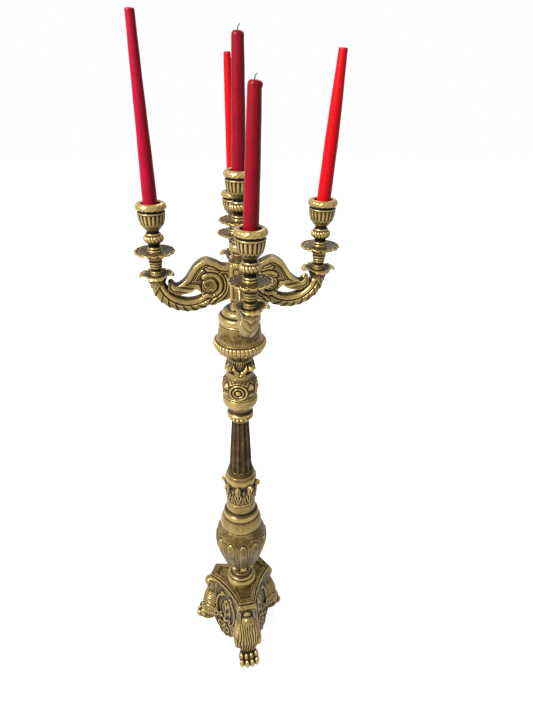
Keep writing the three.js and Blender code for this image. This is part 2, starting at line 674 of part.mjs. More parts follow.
function beadCollar(foot, top) {
  const beadFoot = foot + 8;
  const beadHeight = 9;
  const outline = [
    [SHAFT_TOP_RADIUS + 2, foot],
    [SHAFT_TOP_RADIUS + 3, beadFoot - 2],
    ...roll(BEAD_COLLAR_RADIUS - 4, BEAD_COLLAR_RADIUS, beadFoot, beadHeight),
    [BEAD_COLLAR_NECK, beadFoot + beadHeight + 3],
    [BEAD_COLLAR_NECK + 1, top],
  ];
  const beads = (height) => {
    const offset = (height - beadFoot - beadHeight / 2) / (beadHeight / 2);
    return Math.abs(offset) < 1 ? -1.4 * (1 - offset ** 2) : 0;
  };
  return lobed(bored(outline, ROD_BORE, 2 * BEADS), BEADS, BEAD_COLLAR_NECK + 0.5, beads);
}

function torusRing(foot, top) {
  return bored(smooth([
    [BEAD_COLLAR_NECK + 2, foot], [TORUS_RADIUS - 3.2, foot + 8], [TORUS_RADIUS, foot + 17.7],
    [TORUS_RADIUS - 1, foot + 24], [TORUS_NECK, top],
  ], 6), ROD_BORE);
}

function ovalBulb(foot, top) {
  return bored(smooth([
    [TORUS_NECK - 0.4, foot], [OVAL_RADIUS - 0.4, foot + 13], [OVAL_RADIUS, foot + 22],
    [OVAL_NECK + 3, foot + 34], [OVAL_NECK, top],
  ], 6), ROD_BORE);
}

function leafCapital(foot, top) {
  const outline = smooth([
    [OVAL_NECK - 0.4, foot], [CAPITAL_RADIUS - 1.2, foot + 9], [CAPITAL_RADIUS, foot + 17],
    [CAPITAL_NECK + 0.8, foot + 27], [CAPITAL_NECK, top],
  ], 7);
  const volutes = (height) => (CAPITAL_VOLUTE_REACH - CAPITAL_RADIUS) * Math.exp(-(((height - foot - 17) / 6) ** 2));
  return lobed(bored(outline, ROD_BORE), 4, ROD_BORE + 1, volutes);
}

function beadedBowl(foot, top) {
  const outline = [
    ...smooth([
      [CAPITAL_NECK + 0.5, foot], [CAPITAL_NECK + 4, foot + 6], [BOWL_RADIUS - 11, foot + 16],
      [BOWL_RADIUS - 3, foot + 25],
    ], 4),
    ...roll(BOWL_RADIUS - 3, BOWL_RADIUS, foot + 27, 11),
    [BOWL_MOUTH, top],
  ];
  const beads = (height) => (height > foot + 26 && height < top - 1 ? -1.2 : 0);
  return lobed(bored(outline, ROD_BORE, 2 * BOWL_BEADS), BOWL_BEADS, BOWL_MOUTH, beads);
}

/** Bell with the well for the tie rod's nut and the head's spigot. */
function bell(foot, top) {
  const well = wellFloor();
  return turned([
    [ROD_BORE, foot],
    ...smooth([[BELL_RADIUS, foot], [BELL_RADIUS - 1, foot + 9], [BELL_RADIUS - 2.6, foot + 24], [BELL_TOP_RADIUS, top]], 6),
    [SPIGOT_BORE, top],
    [SPIGOT_BORE, well],
    [ROD_BORE, well],
    [ROD_BORE, foot],
  ]);
}

// ---- Tie rod ----

const rodTop = () => SPIGOT_SEAT - SPIGOT_DEPTH - SPIGOT_END_GAP;
const wellFloor = () => rodTop() - ROD_TOP_TAIL - NUT_HEIGHT - SEAT_GAP;

function nut(foot) {
  const hexagon = new THREE.CylinderGeometry(NUT_RADIUS, NUT_RADIUS, NUT_HEIGHT, 6).rotateX(Math.PI / 2);
  const bore = rod(ROD_RADIUS + SEAT_GAP, 2 * NUT_HEIGHT, 12);
  return solid(hexagon).subtract(solid(bore)).translate([0, 0, foot + NUT_HEIGHT / 2]);
}

function washer(foot) {
  return bored([[WASHER_RADIUS, foot], [WASHER_RADIUS, foot + WASHER_THICKNESS]], ROD_BORE, SMALL_SIDES);
}

// ---- Head ----

function spigot() {
  const foot = SPIGOT_SEAT - SPIGOT_DEPTH;
  const tip = COLLAR_TOP + SPIGOT_TENON;
  return turned([
    [0, foot], [SPIGOT_RADIUS - 1, foot], [SPIGOT_RADIUS, foot + 1.5], [SPIGOT_RADIUS, SPIGOT_SEAT],
    [SPIGOT_COLLAR_RADIUS, SPIGOT_SEAT], [SPIGOT_COLLAR_RADIUS, COLLAR_TOP], [SPIGOT_RADIUS, COLLAR_TOP],
    [SPIGOT_RADIUS, tip], [0, tip],
  ]);
}

/** Turned foot of the head, which covers the spigot and turns on it. */
function headFoot() {
  const foot = FOOT_BOTTOM;
  const ceiling = COLLAR_TOP + SPIGOT_TENON + SEAT_GAP;
  const seat = COLLAR_TOP + SEAT_GAP;
  const collarBore = SPIGOT_COLLAR_RADIUS + SPIGOT_CLEARANCE;
  const step = foot + FOOT_HEIGHT * 0.44;
  return turned([
    [0, ceiling], [SPIGOT_BORE, ceiling], [SPIGOT_BORE, seat], [collarBore, seat], [collarBore, foot],
    ...roll(FOOT_RADIUS - 3, FOOT_RADIUS, foot, step - foot),
    [FOOT_DOME_RADIUS, step],
    ...smooth([
      [FOOT_DOME_RADIUS - 0.5, step + 5], [FOOT_DOME_RADIUS - 5, step + 11], [FOOT_TOP_RADIUS, FOOT_TOP],
    ], 4),
    [STUD_BORE, FOOT_TOP], [STUD_BORE, rodSeat()], [0, rodSeat()],
  ]);
}

const rodSeat = () => COLLAR_TOP + SPIGOT_TENON + 3;

/** Rod that clamps the foot, hub, stem, centre pan and centre socket together. */
function headRod() {
  const foot = rodSeat() + SEAT_GAP;
  const top = panBottom('centre') + PAN_FLOOR + SEAT_GAP + STUD_BITE;
  return turned([[0, foot], [STUD_RADIUS, foot], [STUD_RADIUS, top], [0, top]], SMALL_SIDES);
}

function hub() {
  const foot = FOOT_TOP + SEAT_GAP;
  const half = HUB_WIDTH / 2;
  const spindle = turned([
    [0, foot],
    ...smooth([[SPINDLE_RADIUS, foot], [SPINDLE_RADIUS + 3, foot + 7], [half, HUB_BOTTOM]], 4),
    [half, HUB_BOTTOM + 2],
    [0, HUB_BOTTOM + 2],
  ], SMALL_SIDES);
  const block = box(HUB_WIDTH, HUB_WIDTH, HUB_HEIGHT).translate(0, 0, HUB_BOTTOM + HUB_HEIGHT / 2);
  const bore = rod(STUD_BORE, 4 * HUB_HEIGHT).translate(0, 0, HUB_BOTTOM);
  let body = join(spindle, block).subtract(solid(bore));
  for (const name of ARM_NAMES) {
    const mortise = box(
      2 * (TENON_LENGTH + SEAT_GAP), TENON_WIDTH + 2 * SEAT_GAP, TENON_HEIGHT + 2 * SEAT_GAP,
    ).translate(half, 0, HUB_BOTTOM + HUB_HEIGHT / 2 - ARM_SETS[name].drop);
    body = body.subtract(solid(mortise.rotateZ(armAngle(name))));
  }
  return body;
}

function centreStem() {
  const foot = STEM_BOTTOM;
  return bored([
    [STEM_FOOT, foot], [STEM_FOOT, foot + 4],
    ...smooth([
      [STEM_FOOT - 3, foot + 5], [STEM_RADIUS, foot + 15], [STEM_KNOP, foot + 27], [STEM_RADIUS, foot + 39],
      [STEM_RADIUS - 1, foot + 49], [STEM_TOP_RADIUS, STEM_TOP],
    ], 9),
  ], STUD_BORE, SMALL_SIDES);
}

// ---- Arms ----

const panBottom = (name) => (name === 'centre' ? STEM_TOP : NECK_TOP) + SEAT_GAP;
const socketBottom = (name) => panBottom(name) + PAN_FLOOR + SEAT_GAP;
const cupFloor = (name) => socketBottom(name) + SOCKET_HEIGHT - CUP_DEPTH;

/** Round tube of an arm on its oval path, from under the socket to under the scroll. */
function armTube() {
  const path = new THREE.EllipseCurve(
    ARM_REACH - ARM_BOW, ARM_END, ARM_BOW, ARM_DROP, 0, -THREE.MathUtils.degToRad(ARM_SWEEP), true,
  );
  const sizes = splineOf([
    [ARM_TUBE_RADIUS, ARM_TUBE_RADIUS], [ARM_TUBE_RADIUS + 0.8, ARM_TUBE_RADIUS], [ARM_TUBE_RADIUS, ARM_TUBE_RADIUS],
    [ARM_TUBE_RADIUS - 0.4, ARM_TUBE_RADIUS], [ARM_TUBE_RADIUS - 0.8, ARM_TUBE_RADIUS - 1],
  ]);
  return bar(path, sizes, 10, 8);
}

/** Crest and scroll of an arm: outline in the arm's plane, along is a share of scroll to socket. */
function scrollOutline() {
  const root = HUB_WIDTH / 2 - 2 * SEAT_GAP;
  const middle = HUB_BOTTOM + SCROLL_RISE;
  const span = ARM_REACH - SCROLL_REACH;
  const at = (along, rise) => new THREE.Vector2(SCROLL_REACH + along * span, middle + rise);
  const outline = new THREE.Shape();
  outline.moveTo(root, HUB_BOTTOM + 1);
  outline.lineTo(root, HUB_TOP - 1);
  outline.splineThru([
    at(-0.24, 31.5), at(-0.11, CREST_RISE - 4.5), at(0.07, CREST_RISE), at(0.24, CREST_RISE - 7.5),
    at(0.35, 24), at(0.44, 12), at(0.54, 3.5), at(0.65, -1.5),
  ]);
  outline.splineThru([at(0.7, 5), at(0.76, 11), at(0.815, 7), at(0.81, -8)]);
  outline.splineThru([at(0.65, -14.5), at(0.51, -15), at(0.4, -12.5), at(0.27, -6), at(0.19, -12)]);
  outline.splineThru([at(0.1, -29), at(-0.03, -36), at(-0.22, -30.5)]);
  return outline;
}

function armScroll() {
  const plate = new THREE.ExtrudeGeometry(scrollOutline(), {
    depth: ARM_THICKNESS, bevelEnabled: true, bevelThickness: ARM_EDGE, bevelSize: ARM_CHAMFER, bevelOffset: -ARM_CHAMFER,
    bevelSegments: 1, curveSegments: 1,
  });
  plate.translate(0, 0, -ARM_THICKNESS / 2).rotateX(Math.PI / 2);
  const disc = new THREE.CylinderGeometry(SCROLL_RADIUS, SCROLL_RADIUS, SCROLL_WIDTH, SMALL_SIDES);
  return [plate, disc.translate(SCROLL_REACH, 0, HUB_BOTTOM + SCROLL_RISE)];
}

/** Cup of leaves at the end of an arm, with a flat seat inside for the neck. */
function calyx() {
  const foot = ARM_END + CALYX_FLOOR + 8 - CALYX_HEIGHT;
  const tip = foot + CALYX_HEIGHT;
  const seat = ARM_END + CALYX_FLOOR;
  const cup = turned([
    [0, foot],
    [ARM_TUBE_RADIUS - 1, foot],
    ...smooth([
      [ARM_TUBE_RADIUS + 1, foot + 4], [ARM_TUBE_RADIUS + 4, foot + 13], [CALYX_RADIUS - 3.5, tip - 4],
      [CALYX_RADIUS, tip - 0.6],
    ], 3),
    [CALYX_RADIUS - 2, tip],
    [NECK_RADIUS + 4, tip - 4.5],
    [NECK_RADIUS + 2, seat],
    [0, seat],
  ], 2 * CALYX_LEAVES);
  const leaves = (height, radius) => (radius > ARM_TUBE_RADIUS + 5 ? -3.2 * ((height - foot) / CALYX_HEIGHT) : 0);
  return lobed(cup, CALYX_LEAVES, NECK_RADIUS + 4.5, leaves).translate(ARM_REACH, 0, 0);
}

/** Arm in the XZ plane; its root is cut to the face of the hub, which stands turned by the arm's swing. */
function arm(name) {
  const middle = HUB_BOTTOM + HUB_HEIGHT / 2;
  const tenon = box(TENON_LENGTH + 8, TENON_WIDTH, TENON_HEIGHT);
  tenon.translate(HUB_WIDTH / 2 + SEAT_GAP + 4 - TENON_LENGTH / 2, 0, middle);
  const seat = ARM_END + CALYX_FLOOR;
  const neckRoom = rod(NECK_RADIUS + 2, CALYX_HEIGHT).translate(ARM_REACH, 0, seat + CALYX_HEIGHT / 2);
  const studDepth = STUD_TAIL + SEAT_GAP;
  const studHole = rod(STUD_BORE, studDepth + 1).translate(ARM_REACH, 0, seat - (studDepth - 1) / 2);
  const hubRoom = box(HUB_WIDTH + 2 * SEAT_GAP, HUB_WIDTH + 2 * SEAT_GAP, 2 * HUB_HEIGHT).translate(0, 0, middle);
  hubRoom.rotateZ(-THREE.MathUtils.degToRad(ARM_SETS[name].swing));
  let body = join(armTube(), ...armScroll(), calyx());
  for (const room of [hubRoom, neckRoom, studHole]) body = body.subtract(solid(room));
  return body.add(solid(tenon));
}

/** Ridged neck between calyx and drip pan, with a threaded stud at both ends. */
function neck() {
  const foot = NECK_BOTTOM;
  const studFoot = foot - STUD_TAIL;
  const studTop = socketBottom('arm') + STUD_BITE;
  return turned([
    [0, studFoot], [STUD_RADIUS, studFoot], [STUD_RADIUS, foot], [NECK_RADIUS, foot], [NECK_RADIUS, foot + 6],
    [NECK_RADIUS - 2, foot + 8], [NECK_RADIUS - 1.7, foot + 14], [NECK_RADIUS, foot + 16], [NECK_RADIUS, foot + 20],
    [NECK_RADIUS - 1.2, foot + 21.5], [NECK_TOP_RADIUS, NECK_TOP], [STUD_RADIUS, NECK_TOP], [STUD_RADIUS, studTop],
    [0, studTop],
  ], SMALL_SIDES);
}

/** Shallow drip pan with a scalloped rim. */
function pan(name) {
  const foot = panBottom(name);
  const rim = foot + PAN_RISE;
  const notch = PAN_RADIUS - SCALLOP_DEPTH;
  const dish = turned([
    [STUD_BORE, foot], [NECK_TOP_RADIUS + 1, foot], [PAN_RADIUS * 0.63, foot + 3.4],
    [notch, rim - PAN_EDGE], [notch - 0.4, rim], [PAN_RADIUS * 0.84, rim - 1.6],
    [SOCKET_FOOT + 4, foot + PAN_FLOOR], [STUD_BORE, foot + PAN_FLOOR], [STUD_BORE, foot],
  ], 2 * PAN_SCALLOPS);
  return lobed(dish, PAN_SCALLOPS, PAN_RADIUS * 0.88, () => SCALLOP_DEPTH);
}

/** Urn-shaped socket with a rolled rim and the cup that holds a candle's end. */
function socket(name) {
  const foot = socketBottom(name);
  const top = foot + SOCKET_HEIGHT;
  const rim = top - SOCKET_RIM_HEIGHT;
  const waist = foot + SOCKET_WAIST_RISE;
  const knop = foot + SOCKET_KNOP_RISE;
  const bite = STUD_BITE + SEAT_GAP;
  const urn = new THREE.EllipseCurve(
    SOCKET_WAIST, rim - 6, SOCKET_RADIUS - SOCKET_WAIST, rim - 6 - waist, -Math.PI / 2, 0, false,
  ).getPoints(3).map((point) => [point.x, point.y]);
  return turned([
    [0, foot + bite], [STUD_BORE, foot + bite], [STUD_BORE, foot],
    [SOCKET_FOOT, foot], [SOCKET_FOOT, foot + 5], [SOCKET_FOOT - 2, foot + 11],
    ...roll(SOCKET_FOOT - 1, SOCKET_KNOP, knop - 6, 12),
    ...urn,
    [SOCKET_RADIUS - 1, rim - 1],
    ...roll(SOCKET_RADIUS - 1, SOCKET_RIM_RADIUS, rim, SOCKET_RIM_HEIGHT),
    [SOCKET_MOUTH, top - 2],
    [CANDLE_RADIUS + CUP_CLEARANCE, top - CUP_DEPTH],
    [0, top - CUP_DEPTH],
  ], SMALL_SIDES);
}

// ---- Candles ----

/** Tapered candle about Z with its foot at the origin. */
function candle({ length, middle, top, round, wick }) {
  const hole = WICK_RADIUS + SEAT_GAP;
  const end = round
    ? [[top, length - CANDLE_SHOULDER], [top * 0.82, length - 2.2], [top * 0.45, length]]
    : [[top, length - 0.6], [top - 0.6, length]];
  const tip = wick > 0 ? [[hole, length], [hole, length - WICK_SINK], [0, length - WICK_SINK]] : [[0, length]];
  return turned([[0, 0], [CANDLE_RADIUS, 0], [middle, length * 0.55], ...end, ...tip], SMALL_SIDES);
}

/** Wick that bends over at its burnt end. */
function wickOf({ length, wick }) {
  const foot = length - WICK_SINK + SEAT_GAP;
  const path = splineOf([[0, foot], [0, length + wick * 0.3], [wick * 0.15, length + wick * 0.7], [wick * 0.55, length + wick]]);
  const sizes = splineOf([[WICK_RADIUS, WICK_RADIUS], [WICK_RADIUS, WICK_RADIUS], [WICK_RADIUS * 0.7, WICK_RADIUS * 0.7]]);
  return bar(path, sizes, 6, 6);
}

/** Candle and wick in their own group, leaning loosely in the cup. */
function candleGroup(data) {
  const group = new THREE.Group();
  const lean = THREE.MathUtils.degToRad(data.lean);
  const towards = THREE.MathUtils.degToRad(data.leanTo);
  const wax = ['right', 'back'].includes(data.name) ? RED_WAX : CRIMSON_WAX;
  group.position.copy(armPlace(data.name));
  group.position.z += cupFloor(data.name) + SEAT_GAP + CANDLE_RADIUS * Math.sin(lean);
  group.rotateOnAxis(new THREE.Vector3(-Math.sin(towards), Math.cos(towards), 0), lean);
  group.add(mesh(`candle_${data.name}`, candle(data), wax));
  if (data.wick > 0) group.add(mesh(`wick_${data.name}`, wickOf(data), WICK_COTTON));
  return group;
}

// ---- Assembly ----

const armAngle = (name) =>
  THREE.MathUtils.degToRad(-90 + (360 / ARM_NAMES.length) * ARM_NAMES.indexOf(name) + ARM_SETS[name].swing);

/** Place of the socket over an arm, or in the middle. */
function armPlace(name) {
  if (name === 'centre') return new THREE.Vector3();
  const angle = armAngle(name);
  return new THREE.Vector3(ARM_REACH * Math.cos(angle), ARM_REACH * Math.sin(angle), -ARM_SETS[name].drop);
}

function base() {
  const group = new THREE.Group();
  group.add(mesh('plinth', plinth(), BRASS));
  LEG_NAMES.forEach((name, index) => {
    for (const piece of [
      mesh(`leg_${name}`, leg(), BRASS),
      mesh(`leg_screw_${name}`, legScrew(), STEEL),
    ]) {
      piece.rotation.z = legAngle(index);
      group.add(piece);
    }
  });
  ['right', 'back', 'left'].forEach((name, index) => group.add(mesh(`apron_${name}`, apron(index), BRASS)));
  return group;
}

function column() {
  const group = new THREE.Group();
  const sections = [
    ['socle_ring', socle], ['leaf_collar', leafCollar], ['gadrooned_bulb', bulb], ['shoulder_torus', shoulder],
    ['leaf_drum', leafDrum], ['drum_ring', drumRing], ['fluted_shaft', flutedShaft], ['bead_collar', beadCollar],
    ['torus_ring', torusRing], ['cartouche_bulb', ovalBulb], ['leaf_capital', leafCapital],
    ['beaded_bowl', beadedBowl], ['bell_top', bell],
  ];
  let level = PANEL_TOP;
  sections.forEach(([name, make], index) => {
    const foot = level + SEAT_GAP;
    level = foot + SECTION_HEIGHTS[index];
    group.add(mesh(name, make(foot, level), BRASS));
  });
  return group;
}

function tieRod() {
  const group = new THREE.Group();
  const washerFoot = PLINTH_FOOT - BOSS_HEIGHT - SEAT_GAP - WASHER_THICKNESS;
  const nutFoot = washerFoot - SEAT_GAP - NUT_HEIGHT;
  const foot = nutFoot - ROD_TAIL;
  const length = rodTop() - foot;
  group.add(mesh('tie_rod', rod(ROD_RADIUS, length, 12).translate(0, 0, foot + length / 2), STEEL));
  group.add(mesh('tie_rod_washer', washer(washerFoot), STEEL));
  group.add(mesh('tie_rod_nut', nut(nutFoot), STEEL));
  group.add(mesh('tie_rod_top_nut', nut(wellFloor() + SEAT_GAP), STEEL));
  return group;
}

function head() {
  const group = new THREE.Group();
  group.add(mesh('spigot', spigot(), STEEL));
  group.add(mesh('head_foot', headFoot(), BRASS));
  group.add(mesh('hub', hub(), BRASS));
  group.add(mesh('centre_stem', centreStem(), BRASS));
  group.add(mesh('head_rod', headRod(), STEEL));
  for (const name of ARM_NAMES) {
    const limb = mesh(`arm_${name}`, arm(name), BRASS);
    limb.rotation.z = armAngle(name);
    limb.position.z = -ARM_SETS[name].drop;
    group.add(limb);
    const collar = mesh(`neck_${name}`, neck(), DARK_BRASS);
    collar.position.copy(armPlace(name));
    group.add(collar);
  }
  for (const name of [...ARM_NAMES, 'centre']) {
    for (const piece of [mesh(`pan_${name}`, pan(name), BRASS), mesh(`socket_${name}`, socket(name), BRASS)]) {
      piece.position.copy(armPlace(name));
      group.add(piece);
    }
  }
  return group;
}

const stand = new THREE.Group();
stand.add(base(), column(), tieRod(), head(), ...CANDLES.map(candleGroup));

export default stand;
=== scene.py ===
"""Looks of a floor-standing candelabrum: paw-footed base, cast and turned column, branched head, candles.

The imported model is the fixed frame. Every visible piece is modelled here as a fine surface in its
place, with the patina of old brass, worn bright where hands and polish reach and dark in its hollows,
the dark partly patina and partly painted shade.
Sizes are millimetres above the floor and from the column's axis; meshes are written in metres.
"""

import logging
import math
from collections.abc import Callable, Sequence
from dataclasses import dataclass
from enum import Enum

import bpy
import numpy as np
from mathutils import Matrix, Vector


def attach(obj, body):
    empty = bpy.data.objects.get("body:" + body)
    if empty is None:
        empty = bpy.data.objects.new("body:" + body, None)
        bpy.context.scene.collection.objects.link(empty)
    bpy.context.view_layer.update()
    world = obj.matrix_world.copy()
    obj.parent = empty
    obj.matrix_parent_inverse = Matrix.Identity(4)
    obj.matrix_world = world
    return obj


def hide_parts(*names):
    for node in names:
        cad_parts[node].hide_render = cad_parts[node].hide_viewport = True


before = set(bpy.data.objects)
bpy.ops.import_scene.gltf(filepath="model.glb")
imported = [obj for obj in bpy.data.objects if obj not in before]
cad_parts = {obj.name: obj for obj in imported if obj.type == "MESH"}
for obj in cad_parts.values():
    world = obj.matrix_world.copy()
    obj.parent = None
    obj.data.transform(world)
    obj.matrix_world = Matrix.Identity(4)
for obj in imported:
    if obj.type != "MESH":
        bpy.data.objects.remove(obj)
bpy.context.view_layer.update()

Array = np.ndarray
Run = list[tuple[float, float]]
Relief = Callable[[Array, Array, Array], Array]

LOG = logging.getLogger("candelabrum")
MM = 0.001
BASE_TURN = math.radians(2.6)  # how far the base stands turned from the head


# ---- Curves and profiles -------------------------------------------------------------------------


def curve_through(points: Sequence[Sequence[float]], per_span: int = 16) -> Array:
    """Smooth curve through points.

    Args:
        points: Points that the curve passes, in two or three dimensions.
        per_span: Steps between two of them.

    Returns:
        Points along the curve, one row each.
    """
    known = np.asarray(points, float)
    padded = np.vstack([known[:1], known, known[-1:]])
    t = np.linspace(0, 1, per_span, endpoint=False)[:, None]
    rows = [
        0.5 * (2 * b + (c - a) * t + (2 * a - 5 * b + 4 * c - d) * t**2 + (3 * b - a - 3 * c + d) * t**3)
        for a, b, c, d in zip(padded, padded[1:], padded[2:], padded[3:])
    ]
    return np.vstack([*rows, known[-1:]])


def evenly(points: Array, spacing: float, guard: float = 0.3) -> Array:
    """Spaces points evenly along a line of points.

    Args:
        points: The line.
        spacing: Distance wanted between neighbours.
        guard: Extra points this far from both ends, which keep a corner crisp. None where 0.

    Returns:
        The new points.
    """
    steps = np.linalg.norm(np.diff(points, axis=0), axis=1)
    along = np.concatenate([[0], np.cumsum(steps)])
    count = max(1, round(along[-1] / spacing))
    marks = np.linspace(0, along[-1], count + 1)
    if guard and along[-1] > 4 * guard:
        marks = np.unique(np.concatenate([marks, [guard, along[-1] - guard]]))
        keep = np.concatenate([[True], np.diff(marks) > guard * 0.4])
        marks = marks[keep]
    return np.stack([np.interp(marks, along, points[:, i]) for i in range(points.shape[1])], axis=1)


def profile_of(runs: Sequence[Run], spacing: float = 1.0, foot: float = 0.0) -> Array:
    """Turning profile from smooth and straight runs that meet at crisp corners.

    Args:
        runs: Lists of (radius, height); three or more points make a smooth run.
        spacing: Distance between its points.
        foot: Height added to all of it.

    Returns:
        Rows of radius and height.
    """
    pieces: list[Array] = []
    for run in runs:
        if pieces:
            run = [tuple(pieces[-1][-1] - [0, foot]), *run] if len(run) < 3 else run
        line = curve_through(run) if len(run) > 2 else np.asarray(run, float)
        part = evenly(line + [0, foot], spacing)
        if pieces and np.linalg.norm(pieces[-1][-1] - part[0]) > 0.05:
            link = evenly(np.stack([pieces[-1][-1], part[0]]), spacing)
            pieces.append(link[1:])
        pieces.append(part[1:] if pieces else part)
    return np.vstack(pieces)


def offset_of(angle: Array, count: int, phase: float = 0.0) -> Array:
    """Distance to the nearest of some marks round the axis.

    Args:
        angle: Angles, in radians.
        count: Number of marks.
        phase: Angle of the first one.

    Returns:
        -1 to 1: 0 at a mark and 1 half way to the next.
    """
    turn = (angle - phase) * count / (2 * math.pi)
    return 2 * (turn - np.round(turn))


def ramp(value: Array, low: float, high: float) -> Array:
    """Smooth step from 0 at low to 1 at high.

    Args:
        value: Numbers to step.
        low: Where it starts.
        high: Where it ends.

    Returns:
        The steps.
    """
    share = np.clip((value - low) / (high - low), 0, 1)
    return share * share * (3 - 2 * share)


def band(value: Array, low: float, high: float, edge: float = 1.0) -> Array:
    """1 between two values, with soft edges.

    Args:
        value: Numbers to test.
        low: Lower end.
        high: Upper end.
        edge: Width of each soft edge.

    Returns:
        0 to 1.
    """
    return ramp(value, low - edge / 2, low + edge / 2) * (1 - ramp(value, high - edge / 2, high + edge / 2))


def bump(value: Array, width: float) -> Array:
    """Bell curve of height 1 about 0.

    Args:
        value: Distances from its middle.
        width: Its width.

    Returns:
        Its heights.
    """
    return np.exp(-((value / width) ** 2))


def strand(value: Array) -> Array:
    """Rounded strands of width 1, parted by narrow grooves, from -1 to 1."""
    return 2 * np.abs(np.sin(math.pi * value)) ** 0.7 - 1


def distance_to(line: Array, x: Array, y: Array) -> Array:
    """Distance of places in a plane to a line of points.

    Args:
        line: The line's points.
        x: First coordinates of the places.
        y: Second ones.

    Returns:
        The distances.
    """
    near = np.full(np.broadcast(x, y).shape, np.inf)
    for (x0, y0), (x1, y1) in zip(line, line[1:]):
        run = (x1 - x0) ** 2 + (y1 - y0) ** 2
        share = np.clip(((x - x0) * (x1 - x0) + (y - y0) * (y1 - y0)) / max(run, 1e-9), 0, 1)
        near = np.minimum(near, np.hypot(x - x0 - share * (x1 - x0), y - y0 - share * (y1 - y0)))
    return near


def leaf_relief(across: Array, up: Array, lobes: int = 4) -> Array:
    """Relief of one acanthus leaf.

    Args:
        across: -1 to 1 over the leaf's room.
        up: 0 at its foot to 1 at its tip.
        lobes: Lobes on each side.

    Returns:
        Heights: below 0 in the hollow beside the leaf, up to about 1 on its ribs.
    """
    inside = np.clip(up, 0, 1)
    notch = 0.13 * np.cos(2 * math.pi * lobes * (inside - 0.16 * np.abs(across)))
    half = 0.92 - 0.55 * inside**2.4 + notch * (1 - inside)
    share = np.abs(across) / np.maximum(half, 0.05)
    body = 1 - ramp(share, 0.86, 1.06)
    rib = bump(across, 0.09) * 0.5
    veins = 0.28 * np.cos(2 * math.pi * (lobes * inside - 1.7 * np.abs(across)))
    dome = 0.45 * (1 - np.clip(share, 0, 1) ** 2)
    return body * (0.35 + dome + rib + veins * ramp(share, 0.12, 0.3)) - (1 - body) * 0.75


# ---- Meshes --------------------------------------------------------------------------------------


@dataclass
class Surface:
    """Corners in millimetres and faces of a surface, before it becomes an object."""

    corners: Array
    faces: list[tuple[int, ...]]

    def moved(self, x: float = 0.0, y: float = 0.0, z: float = 0.0) -> "Surface":
        """The surface, moved."""
        return Surface(self.corners + [x, y, z], self.faces)

    def turned(self, angle: float, axis: str = "Z") -> "Surface":
        """The surface, turned by an angle about an axis through the origin."""
        spin = np.array(Matrix.Rotation(angle, 3, axis))
        return Surface(self.corners @ spin.T, self.faces)

    def joined(self, *others: "Surface") -> "Surface":
        """The surface with others beside it."""
        corners, faces = [self.corners], list(self.faces)
        start = len(self.corners)
        for other in others:
            faces += [tuple(index + start for index in face) for face in other.faces]
            corners.append(other.corners)
            start += len(other.corners)
        return Surface(np.vstack(corners), faces)


def grid_surface(grid: Array, ring: bool = True, loop: bool = False, caps: bool = False) -> Surface:
    """Surface over rows of points.

    Args:
        grid: Points by row, column and coordinate.
        ring: Whether each row closes on itself.
        loop: Whether the last row meets the first.
        caps: Whether a fan closes the first and the last row.

    Returns:
        The surface, which faces out where the rows rise and the columns turn counterclockwise.
    """
    rows, columns = grid.shape[:2]
    index = np.arange(rows * columns).reshape(rows, columns)
    low = index if loop else index[:-1]
    high = np.roll(index, -1, axis=0) if loop else index[1:]
    if ring:
        a, b, c, d = low, np.roll(low, -1, axis=1), np.roll(high, -1, axis=1), high
    else:
        a, b, c, d = low[:, :-1], low[:, 1:], high[:, 1:], high[:, :-1]
    faces = [tuple(face) for face in np.stack([a, b, c, d], axis=-1).reshape(-1, 4).tolist()]
    corners = grid.reshape(-1, 3)
    if caps:
        middle = len(corners)
        corners = np.vstack([corners, grid[0].mean(axis=0), grid[-1].mean(axis=0)])
        first, last = index[0].tolist(), index[-1].tolist()
        faces += [(first[(i + 1) % columns], first[i], middle) for i in range(columns)]
        faces += [(last[i], last[(i + 1) % columns], middle + 1) for i in range(columns)]
    return Surface(corners, faces)


def turn(profile: Array, sides: int, relief: Relief | None = None) -> Surface:
    """Turned piece about the column's axis, with relief on it.

    Args:
        profile: Rows of radius and height, upwards on the outside. It starts and ends on the axis or
            closes on itself.
        sides: Steps round the axis.
        relief: Height of the relief for angles, heights and radii. Angle 0 is the front.

    Returns:
        The closed surface.
    """
    loop = bool(np.linalg.norm(profile[0] - profile[-1]) < 0.02)
    line = profile[:-1] if loop else profile
    before = np.roll(line, 1, axis=0)
    after = np.roll(line, -1, axis=0)
    if not loop:
        before[0], after[-1] = line[0], line[-1]
    run = after - before
    run /= np.maximum(np.linalg.norm(run, axis=1, keepdims=True), 1e-9)
    angle = np.arange(sides)[None, :] * 2 * math.pi / sides
    radius, height = line[:, :1], line[:, 1:]
    lift = relief(angle, height, radius) if relief else np.zeros((len(line), sides))
    out = radius + lift * run[:, 1:]
    up = height - lift * run[:, :1]
    grid = np.stack([out * np.sin(angle), -out * np.cos(angle), up + 0 * angle], axis=-1)
    if loop:
        return grid_surface(grid, loop=True)
    poles = [grid[0, 0].copy(), grid[-1, 0].copy()]
    for pole in poles:
        pole[:2] = 0
    body = grid[1:-1]
    shape = grid_surface(body)
    count = len(shape.corners)
    first = list(range(sides))
    last = list(range(count - sides, count))
    faces = shape.faces + [(first[(i + 1) % sides], first[i], count) for i in range(sides)]
    faces += [(last[i], last[(i + 1) % sides], count + 1) for i in range(sides)]
    return Surface(np.vstack([shape.corners, poles]), faces)


